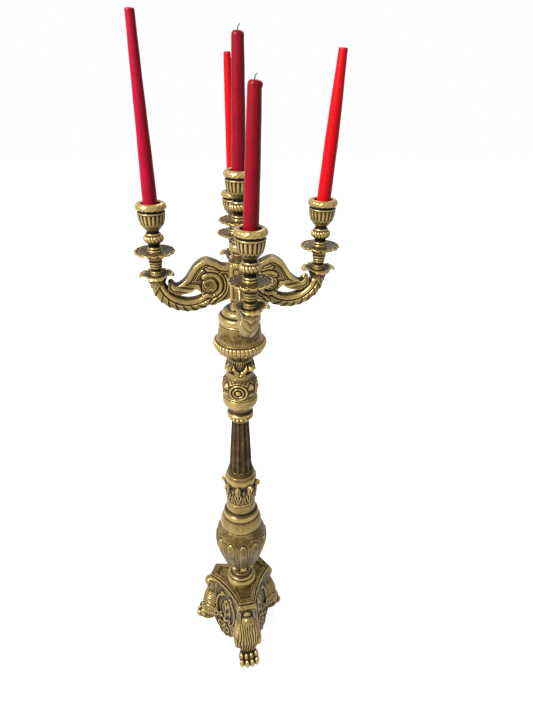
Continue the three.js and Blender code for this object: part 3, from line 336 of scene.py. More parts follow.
def tube_along(
    path: Array, radii: Array, sides: int, bow: Callable[[Array, Array], Array] | None = None, square: float = 1.0
) -> Surface:
    """Closed bar along a path in the plane of X and Z.

    Args:
        path: Points of X and Z.
        radii: Half depth in the plane and half width across it, at each point.
        sides: Steps round it.
        bow: Extra height for shares along the path and angles round it.
        square: 1 for a round section, less for a squarer one.

    Returns:
        The bar, with rounded ends.
    """
    along = np.gradient(path, axis=0)
    along /= np.linalg.norm(along, axis=1, keepdims=True)
    share = np.linspace(0, 1, len(path))[:, None]
    angle = np.arange(sides)[None, :] * 2 * math.pi / sides
    extra = bow(share, angle) if bow else 0.0
    cosine, sine = (np.sign(wave) * np.abs(wave) ** square for wave in (np.cos(angle), np.sin(angle)))
    depth = (radii[:, :1] + extra) * cosine
    width = (radii[:, 1:] + extra) * sine
    grid = np.stack(
        [path[:, :1] + along[:, 1:] * depth, width, path[:, 1:] - along[:, :1] * depth], axis=-1
    )
    shape = grid_surface(grid, caps=True)
    return facing_out(shape)


def facing_out(shape: Surface) -> Surface:
    """Turns a closed surface's faces outwards.

    Args:
        shape: A closed surface.

    Returns:
        The same surface, with its faces reversed where they faced in.
    """
    volume = 0.0
    for size in {len(face) for face in shape.faces}:
        fans = np.array([face for face in shape.faces if len(face) == size])
        first, rest = shape.corners[fans[:, 0]], shape.corners[fans[:, 1:]]
        for b, c in zip(range(size - 2), range(1, size - 1)):
            volume += float((first * np.cross(rest[:, b], rest[:, c])).sum())
    return shape if volume > 0 else Surface(shape.corners, [face[::-1] for face in shape.faces])


def as_object(name: str, shape: Surface) -> bpy.types.Object:
    """Makes the object of a surface.

    Args:
        name: The object's name.
        shape: Its surface, in millimetres.

    Returns:
        The object, in metres, with smooth faces.
    """
    mesh = bpy.data.meshes.new(name)
    mesh.from_pydata((shape.corners * MM).tolist(), [], shape.faces)
    mesh.polygons.foreach_set("use_smooth", [True] * len(mesh.polygons))
    mesh.update()
    piece = bpy.data.objects.new(name, mesh)
    bpy.context.scene.collection.objects.link(piece)
    return piece


def corners_of(mesh: bpy.types.Mesh) -> tuple[Array, Array]:
    """Corners of a mesh, in millimetres, and the directions they face.

    Args:
        mesh: The mesh.

    Returns:
        Places and normals, one row each.
    """
    places = np.empty(len(mesh.vertices) * 3)
    normals = np.empty_like(places)
    mesh.vertices.foreach_get("co", places)
    mesh.vertices.foreach_get("normal", normals)
    return places.reshape(-1, 3) / MM, normals.reshape(-1, 3)


def fuse(piece: bpy.types.Object, voxel: float, soften: int) -> None:
    """Melts the shells of a piece into one skin, as a casting has.

    Args:
        piece: The piece.
        voxel: Size of the grid, in millimetres.
        soften: Rounds of smoothing.
    """
    melt = piece.modifiers.new("melt", "REMESH")
    melt.mode = "VOXEL"
    melt.voxel_size = voxel * MM
    melt.use_smooth_shade = True
    if soften:
        ease = piece.modifiers.new("ease", "SMOOTH")
        ease.factor = 0.5
        ease.iterations = soften
    bpy.context.view_layer.update()
    melted = bpy.data.meshes.new_from_object(piece.evaluated_get(bpy.context.evaluated_depsgraph_get()))
    piece.modifiers.clear()
    piece.data = melted
    melted.polygons.foreach_set("use_smooth", [True] * len(melted.polygons))
    melted.update()


def emboss(piece: bpy.types.Object, relief: Callable[[Array, Array], Array]) -> None:
    """Raises relief on a piece.

    Args:
        piece: The piece.
        relief: Height for places and normals, in millimetres.
    """
    places, normals = corners_of(piece.data)
    lifted = (places + normals * relief(places, normals)[:, None]) * MM
    piece.data.vertices.foreach_set("co", lifted.ravel())
    piece.data.update()


def note_patina_and_shade(mesh: bpy.types.Mesh, reaches: tuple[float, float] = (1.3, 4.5)) -> None:
    """Notes how hollow each place of a mesh is, where patina gathers and shade is painted, or how proud, where it rubs
    off.

    Args:
        mesh: The mesh, which gets the number as its attribute "hollow".
        reaches: Sizes of the small and of the large hollows looked for, in millimetres.
    """
    places, normals = corners_of(mesh)
    count = len(places)
    ends = np.empty(len(mesh.edges) * 2, np.int64)
    mesh.edges.foreach_get("vertices", ends)
    a, b = ends.reshape(-1, 2).T
    length = np.linalg.norm(places[a] - places[b], axis=1)
    spacing = float(np.median(length))
    weight = 1.0 / np.maximum(length, spacing * 0.25)
    degree = np.bincount(a, weight, count) + np.bincount(b, weight, count)
    soft = places.copy()
    done = 0
    total = np.zeros(count)
    for reach, share in zip(reaches, (0.62, 0.38)):
        rounds = int(np.clip(2 * (reach / spacing) ** 2, 2, 70))
        for _ in range(rounds - done):
            soft = np.stack(
                [
                    (np.bincount(a, weight * soft[b, i], count) + np.bincount(b, weight * soft[a, i], count)) / degree
                    for i in range(3)
                ],
                axis=1,
            )
        done = max(done, rounds)
        depth = ((soft - places) * normals).sum(axis=1)
        total += share * np.tanh(depth / (0.22 * reach))
    # The finishes darken hollow places with this number: partly patina, partly painted shade.
    layer = mesh.attributes.new("hollow", "FLOAT", "POINT")
    layer.data.foreach_set("value", total.astype(np.float32))


# ---- Finishes ------------------------------------------------------------------------------------


class Bench:
    """Node tree of one material, with short ways to add and link its nodes."""

    def __init__(self, name: str) -> None:
        """Starts a material with only its shader."""
        self.material = bpy.data.materials.new(name)
        self.material.use_nodes = True
        self.tree = self.material.node_tree
        self.shader = self.tree.nodes["Principled BSDF"]
        self.place = self.tree.nodes.new("ShaderNodeTexCoord").outputs["Object"]

    def link(self, start: bpy.types.NodeSocket, end: bpy.types.NodeSocket) -> None:
        """Links two sockets."""
        self.tree.links.new(start, end)

    def noise(self, grain: float, detail: float = 4.0, roughness: float = 0.55) -> bpy.types.NodeSocket:
        """Adds a noise whose blots are about as large as the grain.

        Args:
            grain: Size of the blots, in millimetres.
            detail: Octaves.
            roughness: Weight of the finer ones.

        Returns:
            Its factor.
        """
        node = self.tree.nodes.new("ShaderNodeTexNoise")
        node.inputs["Scale"].default_value = 1 / (grain * MM)
        node.inputs["Detail"].default_value = detail
        node.inputs["Roughness"].default_value = roughness
        self.link(self.place, node.inputs["Vector"])
        return node.outputs["Fac"]

    def cells(self, grain: float) -> bpy.types.NodeSocket:
        """Adds round dimples of about this size, in millimetres.

        Args:
            grain: Distance between dimples.

        Returns:
            Distance from the nearest dimple's middle.
        """
        node = self.tree.nodes.new("ShaderNodeTexVoronoi")
        node.inputs["Scale"].default_value = 1 / (grain * MM)
        self.link(self.place, node.inputs["Vector"])
        return node.outputs["Distance"]

    def sum(self, *terms: bpy.types.NodeSocket | float) -> bpy.types.NodeSocket:
        """Adds terms.

        Args:
            terms: Sockets or numbers.

        Returns:
            Their sum.
        """
        total = terms[0]
        for term in terms[1:]:
            total = self.math("ADD", total, term)
        return total

    def math(self, operation: str, a: object, b: object, clamp: bool = False) -> bpy.types.NodeSocket:
        """Adds a math node.

        Args:
            operation: What it does.
            a: First socket or number.
            b: Second one.
            clamp: Whether its result stays in 0 to 1.

        Returns:
            Its result.
        """
        node = self.tree.nodes.new("ShaderNodeMath")
        node.operation = operation
        node.use_clamp = clamp
        for socket, value in zip(node.inputs, (a, b)):
            if isinstance(value, (int, float)):
                socket.default_value = value
            else:
                self.link(value, socket)
        return node.outputs[0]

    def scaled(self, value: bpy.types.NodeSocket, low: float, high: float) -> bpy.types.NodeSocket:
        """Stretches 0 to 1 over low to high.

        Args:
            value: The factor.
            low: Result at 0.
            high: Result at 1.

        Returns:
            The stretched factor.
        """
        node = self.tree.nodes.new("ShaderNodeMapRange")
        node.inputs["To Min"].default_value = low
        node.inputs["To Max"].default_value = high
        self.link(value, node.inputs["Value"])
        return node.outputs["Result"]

    def colours(self, factor: bpy.types.NodeSocket, stops: Sequence[tuple[float, tuple]]) -> bpy.types.NodeSocket:
        """Adds a ramp of colours.

        Args:
            factor: Where on the ramp.
            stops: Places and colours, in order.

        Returns:
            The colour.
        """
        node = self.tree.nodes.new("ShaderNodeValToRGB")
        elements = node.color_ramp.elements
        while len(elements) < len(stops):
            elements.new(0.5)
        for element, (place, colour) in zip(elements, stops):
            element.position = place
            element.color = (*colour, 1)
        self.link(factor, node.inputs["Fac"])
        return node.outputs["Color"]

    def mixed(self, factor: object, a: object, b: object, blend: str = "MIX") -> bpy.types.NodeSocket:
        """Mixes two colours.

        Args:
            factor: Share of the second.
            a: First colour.
            b: Second one.
            blend: Way of mixing.

        Returns:
            The mix.
        """
        node = self.tree.nodes.new("ShaderNodeMix")
        node.data_type = "RGBA"
        node.blend_type = blend
        sockets = [node.inputs[0], node.inputs[6], node.inputs[7]]
        for socket, value in zip(sockets, (factor, a, b)):
            if isinstance(value, tuple):
                socket.default_value = (*value, 1)
            elif isinstance(value, (int, float)):
                socket.default_value = value
            else:
                self.link(value, socket)
        return node.outputs[2]

    def bumps(self, height: bpy.types.NodeSocket, depth: float, strength: float = 1.0) -> None:
        """Raises small bumps on the surface.

        Args:
            height: Their height, 0 to 1.
            depth: The full height, in millimetres.
            strength: How strongly they show.
        """
        node = self.tree.nodes.new("ShaderNodeBump")
        node.inputs["Distance"].default_value = depth * MM
        node.inputs["Strength"].default_value = strength
        self.link(height, node.inputs["Height"])
        self.link(node.outputs["Normal"], self.shader.inputs["Normal"])


@dataclass(frozen=True)
class BrassFinish:
    """Old brass: colours from its deepest hollow (patina and painted shade) to its rubbed ribs, gloss, and depth of its
    grain.
    """

    name: str
    # Pit and dark: patina colours that also paint the shade in hollows.
    pit: tuple[float, float, float] = (0.004, 0.0024, 0.0007)
    dark: tuple[float, float, float] = (0.022, 0.0125, 0.0028)
    body: tuple[float, float, float] = (0.092, 0.0585, 0.0155)
    rubbed: tuple[float, float, float] = (0.400, 0.285, 0.105)
    gloss: float = 0.34
    bias: float = 0.0
    contrast: float = 0.70
    grain: float = 0.10
    stipple: float = 0.0

    def material(self) -> bpy.types.Material:
        """Makes the material.

        Returns:
            The material, or the one made before.
        """
        made = bpy.data.materials.get(self.name)
        if made:
            return made
        bench = Bench(self.name)
        note = bench.tree.nodes.new("ShaderNodeAttribute")
        note.attribute_name = "hollow"
        blots = bench.noise(22, 3)
        mottle = bench.noise(5, 5, 0.6)
        specks = bench.noise(0.9, 2)
        hollow = bench.math("MULTIPLY", note.outputs["Fac"], self.contrast)
        place = bench.sum(
            0.5 + self.bias,
            hollow,
            bench.scaled(blots, -0.20, 0.20),
            bench.scaled(mottle, -0.24, 0.24),
        )
        # Hollow places go darker on the ramp: partly patina, partly painted shade.
        patina_and_shade = bench.math("MULTIPLY", place, 1.0, clamp=True)
        colour = bench.colours(
            patina_and_shade,
            [(0.06, self.rubbed), (0.40, self.body), (0.70, self.dark), (0.94, self.pit)],
        )
        bench.link(
            bench.mixed(bench.scaled(specks, 0.0, 0.35), colour, self.dark, "MULTIPLY"),
            bench.shader.inputs["Base Color"],
        )
        bench.link(bench.colours(patina_and_shade, [(0.1, (0.62,) * 3), (0.75, (0.20,) * 3)]), bench.shader.inputs["Metallic"])
        bench.shader.inputs["Specular IOR Level"].default_value = 0.12
        rough = bench.sum(bench.scaled(patina_and_shade, self.gloss - 0.12, self.gloss + 0.28), bench.scaled(mottle, -0.05, 0.09))
        bench.link(rough, bench.shader.inputs["Roughness"])
        height = bench.sum(bench.scaled(mottle, 0, 0.6), bench.scaled(specks, 0, 0.4))
        if self.stipple:
            height = bench.sum(height, bench.scaled(bench.cells(2.2), 0, self.stipple))
        bench.bumps(height, self.grain * 3, 0.8)
        return bench.material


@dataclass(frozen=True)
class WaxFinish:
    """Candle wax: its colour, where it is handled or bloomed, and its gloss."""

    name: str
    body: tuple[float, float, float]
    deep: tuple[float, float, float]
    gloss: float = 0.38

    def material(self) -> bpy.types.Material:
        """Makes the material.

        Returns:
            The material, or the one made before.
        """
        made = bpy.data.materials.get(self.name)
        if made:
            return made
        bench = Bench(self.name)
        drift = bench.noise(30, 2)
        bloom = bench.noise(4, 4)
        tone = bench.sum(bench.scaled(drift, 0.0, 0.7), bench.scaled(bloom, 0.0, 0.3))
        bench.link(bench.colours(tone, [(0.3, self.deep), (0.7, self.body)]), bench.shader.inputs["Base Color"])
        bench.link(bench.scaled(bloom, self.gloss - 0.08, self.gloss + 0.1), bench.shader.inputs["Roughness"])
        bench.shader.inputs["Specular IOR Level"].default_value = 0.14
        bench.shader.inputs["Subsurface Weight"].default_value = 0.12
        bench.shader.inputs["Subsurface Radius"].default_value = (0.004, 0.0006, 0.0006)
        bench.shader.inputs["Subsurface Scale"].default_value = 1.0
        bench.bumps(bench.sum(bench.scaled(drift, 0, 0.7), bench.scaled(bloom, 0, 0.3)), 0.5, 0.5)
        return bench.material


@dataclass(frozen=True)
class PlainFinish:
    """Turned steel or charred cotton: two tones, gloss, metal and grain."""

    name: str
    light: tuple[float, float, float]
    dark: tuple[float, float, float]
    gloss: float
    metal: float
    grain: float

    def material(self) -> bpy.types.Material:
        """Makes the material.

        Returns:
            The material, or the one made before.
        """
        made = bpy.data.materials.get(self.name)
        if made:
            return made
        bench = Bench(self.name)
        tone = bench.noise(self.grain * 6, 4)
        fine = bench.noise(self.grain, 2)
        bench.link(bench.colours(tone, [(0.35, self.dark), (0.65, self.light)]), bench.shader.inputs["Base Color"])
        bench.link(bench.scaled(tone, self.gloss - 0.08, self.gloss + 0.12), bench.shader.inputs["Roughness"])
        bench.shader.inputs["Metallic"].default_value = self.metal
        bench.bumps(fine, 0.05, 0.6)
        return bench.material


class Finish(Enum):
    """The finishes of this stand."""

    CAST = BrassFinish("brass_cast")
    POLISHED = BrassFinish("brass_polished", gloss=0.30, bias=-0.05, grain=0.05)
    # FLUTED and DARK sit darker on the ramp: painted shade on the shaft's flutes and on the necks under the pans.
    FLUTED = BrassFinish("brass_fluted", bias=0.10, contrast=0.36, gloss=0.40, grain=0.06)
    STIPPLED = BrassFinish("brass_stippled", bias=-0.10, contrast=0.40, gloss=0.42, grain=0.2, stipple=0.8)
    DARK = BrassFinish("brass_dark", bias=0.18, gloss=0.44)
    CRIMSON = WaxFinish("wax_crimson", (0.29, 0.0009, 0.018), (0.21, 0.0007, 0.012))
    OXBLOOD = WaxFinish("wax_oxblood", (0.20, 0.0008, 0.008), (0.13, 0.0004, 0.005))
    # Crimson wax painted brighter: painted backlight for the right and back candles.
    CRIMSON_PAINTED_BACKLIGHT = WaxFinish("wax_crimson_painted_backlight", (0.46, 0.0008, 0.004), (0.36, 0.0008, 0.003))
    STEEL = PlainFinish("steel_turned", (0.42, 0.42, 0.42), (0.25, 0.25, 0.25), 0.38, 0.9, 0.8)
    COTTON = PlainFinish("cotton_charred", (0.16, 0.15, 0.14), (0.03, 0.028, 0.026), 0.85, 0.0, 0.3)


def place_piece(piece: bpy.types.Object, finish: Finish, body: str, slot: str, *nodes: str) -> bpy.types.Object:
    """Finishes a piece and sets it on its body.

    Args:
        piece: The piece, in its place.
        finish: Its finish.
        body: The body it moves with.
        slot: The record's material slot; not used.
        nodes: The solids it stands for.

    Returns:
        The piece.
    """
    if not piece.data.materials:
        piece.data.materials.append(finish.value.material())
    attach(piece, body)
    if nodes:
        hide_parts(*nodes)
    LOG.info("%s: %d faces on %s", piece.name, len(piece.data.polygons), body)
    return piece


# ---- Base ----------------------------------------------------------------------------------------


@dataclass
class Plinth:
    """Three-cornered plate with hollow sides, a stepped border and a sunk, stippled panel."""

    foot: float = 160.0
    height: float = 12.0
    panel_drop: float = 1.6
    corner: float = 73.5
    corner_width: float = 36.0
    waist: float = 45.0
    bore: float = 5.6
    boss: float = 17.0
    boss_drop: float = 8.0

    def outline(self, inset: float, steps: int = 60) -> Array:
        """Outline of the plate, drawn in by an inset.

        Args:
            inset: How far it is drawn in.
            steps: Points on each hollow side.

        Returns:
            Points of X and Y, counterclockwise.
        """
        corner = self.corner - inset
        half = self.corner_width / 2 - inset * 0.45
        bend = 2 * (self.waist - inset) - corner * 0.5 - half * math.sin(math.pi / 3)
        points: list[Array] = []
        for index in range(3):
            angle = BASE_TURN - math.pi / 2 + index * math.tau / 3
            out = np.array([math.cos(angle), math.sin(angle)])
            side = np.array([-out[1], out[0]])
            later = angle + math.tau / 3
            start = corner * out + half * side
            end = corner * np.array([math.cos(later), math.sin(later)]) + half * np.array(
                [math.sin(later), -math.cos(later)]
            )
            middle = bend * np.array([math.cos(angle + math.pi / 3), math.sin(angle + math.pi / 3)])
            flat = np.linspace(corner * out - half * side, start, 16, endpoint=False)
            t = np.linspace(0, 1, steps, endpoint=False)[:, None]
            points += [flat, (1 - t) ** 2 * start + 2 * t * (1 - t) * middle + t**2 * end]
        return np.vstack(points)

    def edge(self) -> Array:
        """Moulded edge and border.

        Returns:
            Rows of inset and height, from the underside to the sunk panel.
        """
        drop = self.height - self.panel_drop
        line = profile_of([
            [(0.5, 0), (0.0, 0.5)],
            [(0.0, 2.6), (0.7, 3.2)],
            [(0.7, 3.8), (0.0, 4.4)],
            [(0.0, 6.2), (0.6, 7.0)],
            [(3.4, 7.1), (4.0, 7.5)],
            [(4.0, 11.2), (4.7, 12.0)],
            [(10.2, 12.0), (10.8, 11.0)],
            [(11.8, 11.0), (12.4, 12.0)],
            [(14.6, 12.0), (15.2, 11.5)],
            [(15.7, drop + 0.3), (16.2, drop)],
        ], 0.9)
        return line + [0, self.foot]

    def build(self) -> bpy.types.Object:
        """Builds the plate.

        Returns:
            The piece.
        """
        edge = self.edge()
        panel = edge[-1, 1]
        inner = self.outline(edge[-1, 0])
        count = len(inner)
        hole, boss = (radius * inner / np.linalg.norm(inner, axis=1, keepdims=True) for radius in (self.bore, self.boss))
        low = self.foot - self.boss_drop
        rings = [(self.outline(inset), height) for inset, height in edge]
        rings += [(inner * share + hole * (1 - share), panel) for share in (0.85, 0.7, 0.55, 0.4, 0.25, 0.1)]
        rings += [(hole, panel), (hole, low), (boss, low), (boss, self.foot)]
        rings += [(self.outline(0.5) * share + boss * (1 - share), self.foot) for share in (0.3, 0.6, 0.9)]
        grid = np.stack([np.column_stack([ring, np.full(count, height)]) for ring, height in rings])
        piece = as_object("plinth_plate", grid_surface(grid, loop=True))
        note_patina_and_shade(piece.data, (1.0, 2.0))
        piece.data.materials.append(Finish.CAST.value.material())
        piece.data.materials.append(Finish.STIPPLED.value.material())
        height = np.array([face.center[2] for face in piece.data.polygons]) / MM
        flat = (np.abs(height - panel) < 0.25) | (np.abs(height - self.foot - self.height) < 0.1)
        piece.data.polygons.foreach_set("material_index", flat.astype(int))
        return place_piece(piece, Finish.CAST, "stand", "brass", "plinth")


@dataclass
class Leg:
    """Leg on a lion's paw: block and knob under the plinth, curled locks down its shank, four toes."""

    block_top: float = 159.7
    block_reach: float = 75.0
    block_depth: float = 27.0
    block_width: float = 42.0
    block_height: float = 14.0
    knob: tuple[float, float, float] = (81.0, 125.0, 13.5)
    curl: tuple[float, float, float] = (74.0, 56.0, 20.0)
    curl_width: float = 60.0
    paw_reach: float = 118.5
    paw_half_width: float = 23.5
    paw_height: float = 27.0
    toes: int = 4

    def shank(self) -> Surface:
        """Shank: broad under the knob, broadest at the curls, narrow at the ankle."""
        path = curve_through([(60, 152), (62, 132), (67.5, 106), (71, 84), (76, 62), (81, 42), (84, 28), (87, 15)], 12)
        radii = curve_through([(12, 18), (13, 19), (18, 23), (22, 27), (21, 28), (15, 23), (12, 18), (12, 20)], 12)
        return tube_along(path, radii, 72, square=0.72)

    def ball(self, place: tuple[float, float, float], size: tuple[float, float, float], steps: int = 20) -> Surface:
        """Egg of three half sizes.

        Args:
            place: Its middle.
            size: Half its size along each axis.
            steps: Steps from pole to pole.

        Returns:
            The egg.
        """
        polar = np.linspace(0, math.pi, steps + 1)
        line = np.stack([np.sin(polar), -np.cos(polar)], axis=1)
        line[[0, -1], 0] = 0
        shape = turn(line, 2 * steps)
        return Surface(shape.corners * size + place, shape.faces)

    def roll(self) -> Surface:
        """Roll of the two curls, across the leg."""
        reach, level, radius = self.curl
        half = self.curl_width / 2
        line = [(0, -half), (radius - 3, -half), (radius, -half + 4), (radius, half - 4), (radius - 3, half), (0, half)]
        shape = turn(evenly(np.array(line, float), 3, 0), 48).turned(math.pi / 2, "X")
        return shape.moved(reach, 0, level)

    def paw(self) -> list[Surface]:
        """Palm, two rows of knuckles and short claws."""
        parts = [self.ball((90, 0, self.paw_height * 0.16), (23, self.paw_half_width * 0.94, self.paw_height * 0.86))]
        pitch = 2 * self.paw_half_width / self.toes
        for toe in range(self.toes):
            side = pitch * (toe + 0.5) - self.paw_half_width
            back = 6.5 * (side / self.paw_half_width) ** 2
            tip = self.paw_reach - back
            parts.append(self.ball((tip - 19.5, side * 0.96, 15.5), (9.5, pitch * 0.56, 12)))
            parts.append(self.ball((tip - 8.4, side, 8.2), (8.4, pitch * 0.54, 10.6)))
            parts.append(self.ball((tip - 2.8, side, 2.6), (2.8, 3.0, 3.2), 10))
        return parts

    def relief(self, places: Array, normals: Array) -> Array:
        """Locks that fan out under the knob, swing in at the ankle and curl up on the flanks."""
        out, side, level = places.T
        curl_out, curl_level, radius = self.curl
        away = np.hypot(out - curl_out, level - curl_level)
        heading = np.arctan2(level - curl_level, out - curl_out)
        rings = strand(away / 5.3 - heading / math.tau)
        spread = np.interp(level, [28, 42, 60, 84, 108, 128, 146], [0.66, 0.80, 0.98, 1.0, 0.84, 0.70, 0.62])
        sway = 0.30 * np.sin(level / 13 + side / 9) + 0.10 * np.sin(level / 6 - side / 5)
        locks = strand(side / (6.0 * spread) + sway)
        flank = ramp(np.abs(normals[:, 1]), 0.45, 0.8)
        mane = flank * rings * (1 - ramp(away, 52, 62)) + (1 - flank) * locks
        knob_away = np.linalg.norm(places - [self.knob[0], 0, self.knob[1]], axis=1)
        hairy = band(level, 30, 143, 5) * ramp(knob_away, self.knob[2] + 0.5, self.knob[2] + 3) * (out > 45)
        hairy = hairy * (1 - (level > self.knob[1] + 4) * (np.abs(side) < self.knob[2]))
        eye = 1.6 * bump(away, 3.2) * flank
        seam = bump(side + 7, 0.9) * band(level, 145.5, 160, 0.5) * ramp(out, 66, 70)
        return 1.5 * hairy * mane + eye - 1.4 * seam

    def build(self) -> None:
        """Builds the three legs from one pattern."""
        block = self.box(
            (self.block_reach - self.block_depth / 2, 0, self.block_top - self.block_height / 2),
            (self.block_depth / 2, self.block_width / 2, self.block_height / 2),
        )
        lug = self.box((51, 0, self.block_top - 2.5), (11, 8, 2.5))
        knob_out, knob_level, knob_radius = self.knob
        neck = self.ball((knob_out - 7, 0, knob_level + 12), (7.5, 8.5, 13))
        parts = [
            block, lug, neck, self.roll(),
            self.ball((knob_out, 0, knob_level), (knob_radius, knob_radius, knob_radius)), *self.paw(),
        ]
        pattern = as_object("leg_pattern", self.shank().joined(*parts))
        fuse(pattern, 1.0, 2)
        emboss(pattern, self.relief)
        places, _ = corners_of(pattern.data)
        places[:, 2] = np.clip(places[:, 2], 0, self.block_top)
        pattern.data.vertices.foreach_set("co", (places * MM).ravel())
        pattern.data.update()
        note_patina_and_shade(pattern.data)
        for index, name in enumerate(("front", "right", "left")):
            leg = bpy.data.objects.new(f"leg_{name}_casting", pattern.data)
            leg.matrix_world = Matrix.Rotation(BASE_TURN - math.pi / 2 + index * math.tau / 3, 4, "Z")
            bpy.context.scene.collection.objects.link(leg)
            place_piece(leg, Finish.CAST, "stand", "brass", f"leg_{name}")
        bpy.data.objects.remove(pattern)

    @staticmethod
    def box(place: tuple[float, float, float], half: tuple[float, float, float]) -> Surface:
        """Plain block that the casting grows round.

        Args:
            place: Its middle.
            half: Half its sizes.

        Returns:
            The block.
        """
        signs = [(x, y, z) for z in (-1, 1) for x, y in ((-1, -1), (1, -1), (1, 1), (-1, 1))]
        corners = np.array(signs, float) * half + place
        faces = [(3, 2, 1, 0), (4, 5, 6, 7), (0, 1, 5, 4), (1, 2, 6, 5), (2, 3, 7, 6), (3, 0, 4, 7)]
        return Surface(corners, faces)


@dataclass
class Apron:
    """Curved shell panel between two legs, with scrolls round a tall leaf and a looped lower edge."""

    width: float = 92.0
    thickness: float = 4.2
    top: float = 159.7
    foot: float = 7.0
    top_reach: float = 41.0
    foot_reach: float = 57.0
    side_rise: float = 42.0

    def build(self) -> None:
        """Builds the three panels."""
        rows, columns = 190, 120
        down = np.linspace(0, 1, rows)[:, None]
        across = np.linspace(-1, 1, columns)[None, :]
        side = np.abs(across)
        rise = self.side_rise * side**1.5 + 5 * np.cos(5 * math.pi * across) * (1 - side)
        level = self.top - down * (self.top - self.foot - np.maximum(0, rise))
        reach = self.top_reach + (self.foot_reach - self.top_reach) * down**2 + 4 * side**2 * (1 - down)
        shell = self.relief(across * self.width / 2 + 0 * level, level)
        edge = np.minimum(1, 9 * np.minimum(down, 1 - down)) ** 0.5 * np.minimum(1, 9 * (1 - side)) ** 0.5
        outer = np.stack([reach + self.thickness / 2 * edge + shell * edge, across * self.width / 2 + 0 * level, level], -1)
        inner = outer.copy()
        inner[..., 0] = reach - self.thickness / 2 + 0.4 * shell * edge
        ring = np.concatenate([outer[::-1], inner[::-1][:, ::-1]], axis=1)
        shape = facing_out(self.closed(ring, columns))
        for index, name in enumerate(("right", "back", "left")):
            angle = BASE_TURN - math.pi / 2 + (index + 0.5) * math.tau / 3
            panel = as_object(f"apron_{name}_panel", shape.turned(angle))
            note_patina_and_shade(panel.data)
            place_piece(panel, Finish.CAST, "stand", "brass", f"apron_{name}")

    @staticmethod
    def closed(ring: Array, columns: int) -> Surface:
        """Closes the sheet's upper and lower edges."""
        shape = grid_surface(ring)
        count = ring.shape[1]
        last = (len(ring) - 1) * count
        faces = list(shape.faces)
        for start, flip in ((0, True), (last, False)):
            for i in range(columns - 1):
                face = (start + i, start + i + 1, start + count - 2 - i, start + count - 1 - i)
                faces.append(face[::-1] if flip else face)
        return Surface(shape.corners, faces)

    def relief(self, across: Array, level: Array) -> Array:
        """Relief at distances across from the middle and heights above the floor."""
        side = np.abs(across)
        scroll = curve_through([
            (9, 137), (14, 141), (18, 137), (15, 131), (22, 126), (30, 112), (33, 94), (30, 76), (22, 63), (14, 60),
            (10, 66), (15, 71), (19, 67),
        ], 10)
        loops = [
            curve_through([(26, 62), (33, 60), (35, 67), (29, 71), (24, 64), (26, 52), (33, 48)], 10),
            curve_through([(0, 40), (7, 37), (10, 44), (4, 48), (1, 42), (8, 30), (16, 33), (19, 41), (13, 45)], 10),
        ]
        leaf_up = np.clip((level - 54) / 72, 0, 1)
        leaf_half = 3 + 13.5 * np.sin(math.pi * leaf_up**0.85) ** 0.8
        share = side / leaf_half
        dome = np.sqrt(np.clip(1 - share**2, 0, 1)) * ramp(level, 52, 58) * (1 - ramp(level, 122, 128))
        leaf = dome * (1 + 0.22 * np.cos(2 * math.pi * (3.2 * leaf_up - 0.8 * share))) + 0.35 * dome * bump(side, 1.5)
        leaf -= 0.45 * bump(share - 1.12, 0.14)
        body = 3.0 * leaf + 3.4 * bump(distance_to(scroll, side, level), 2.6)
        for loop in loops:
            body += 2.6 * bump(distance_to(loop, side, level), 2.0)
        rays = 0.35 * strand(np.arctan2(side, level - 40) * 7) * ramp(np.hypot(side, level - 95), 38, 46)
        roll = 1.6 * bump(level - self.foot - self.side_rise * (side * 2 / self.width) ** 1.5 - 3, 3.2)
        return body + rays + roll


# ---- Column --------------------------------------------------------------------------------------


@dataclass
class Section:
    """One turned or cast section of the column, clamped on the tie rod."""

    node: str
    foot: float
    runs: list[Run]
    finish: Finish = Finish.POLISHED
    relief: Relief | None = None
    sides: int = 128
    spacing: float = 1.1
    bore: float = 5.6
    body: str = "stand"
    stippled_above: float = 0.0

    def build(self) -> bpy.types.Object:
        """Builds the section.

        Returns:
            The piece.
        """
        outside = profile_of(self.runs, self.spacing, self.foot)
        low, high = outside[0, 1], outside[-1, 1]
        start = np.array([[self.bore, low]])
        end = np.array([[self.bore, high]])
        bottom = evenly(np.vstack([start, outside[:1]]), 4)
        lid = evenly(np.vstack([outside[-1:], end]), 4)
        inside = evenly(np.vstack([end, start]), 12, 0)
        line = np.vstack([bottom, outside[1:], lid[1:], inside[1:]])

        def outer(angle: Array, height: Array, radius: Array) -> Array:
            """Relief kept to the outside."""
            lift = self.relief(angle, height - self.foot, radius)
            face = np.zeros(len(height))
            face[len(bottom) : len(bottom) + len(outside) - 2] = 1
            return lift * face[:, None]

        piece = as_object(f"{self.node}_section", turn(line, self.sides, outer if self.relief else None))
        note_patina_and_shade(piece.data)
        if self.stippled_above:
            for finish in (self.finish, Finish.STIPPLED):
                piece.data.materials.append(finish.value.material())
            height = np.array([face.center[2] for face in piece.data.polygons]) / MM - self.foot
            piece.data.polygons.foreach_set("material_index", (height > self.stippled_above).astype(int))
        return place_piece(piece, self.finish, self.body, "brass", self.node)


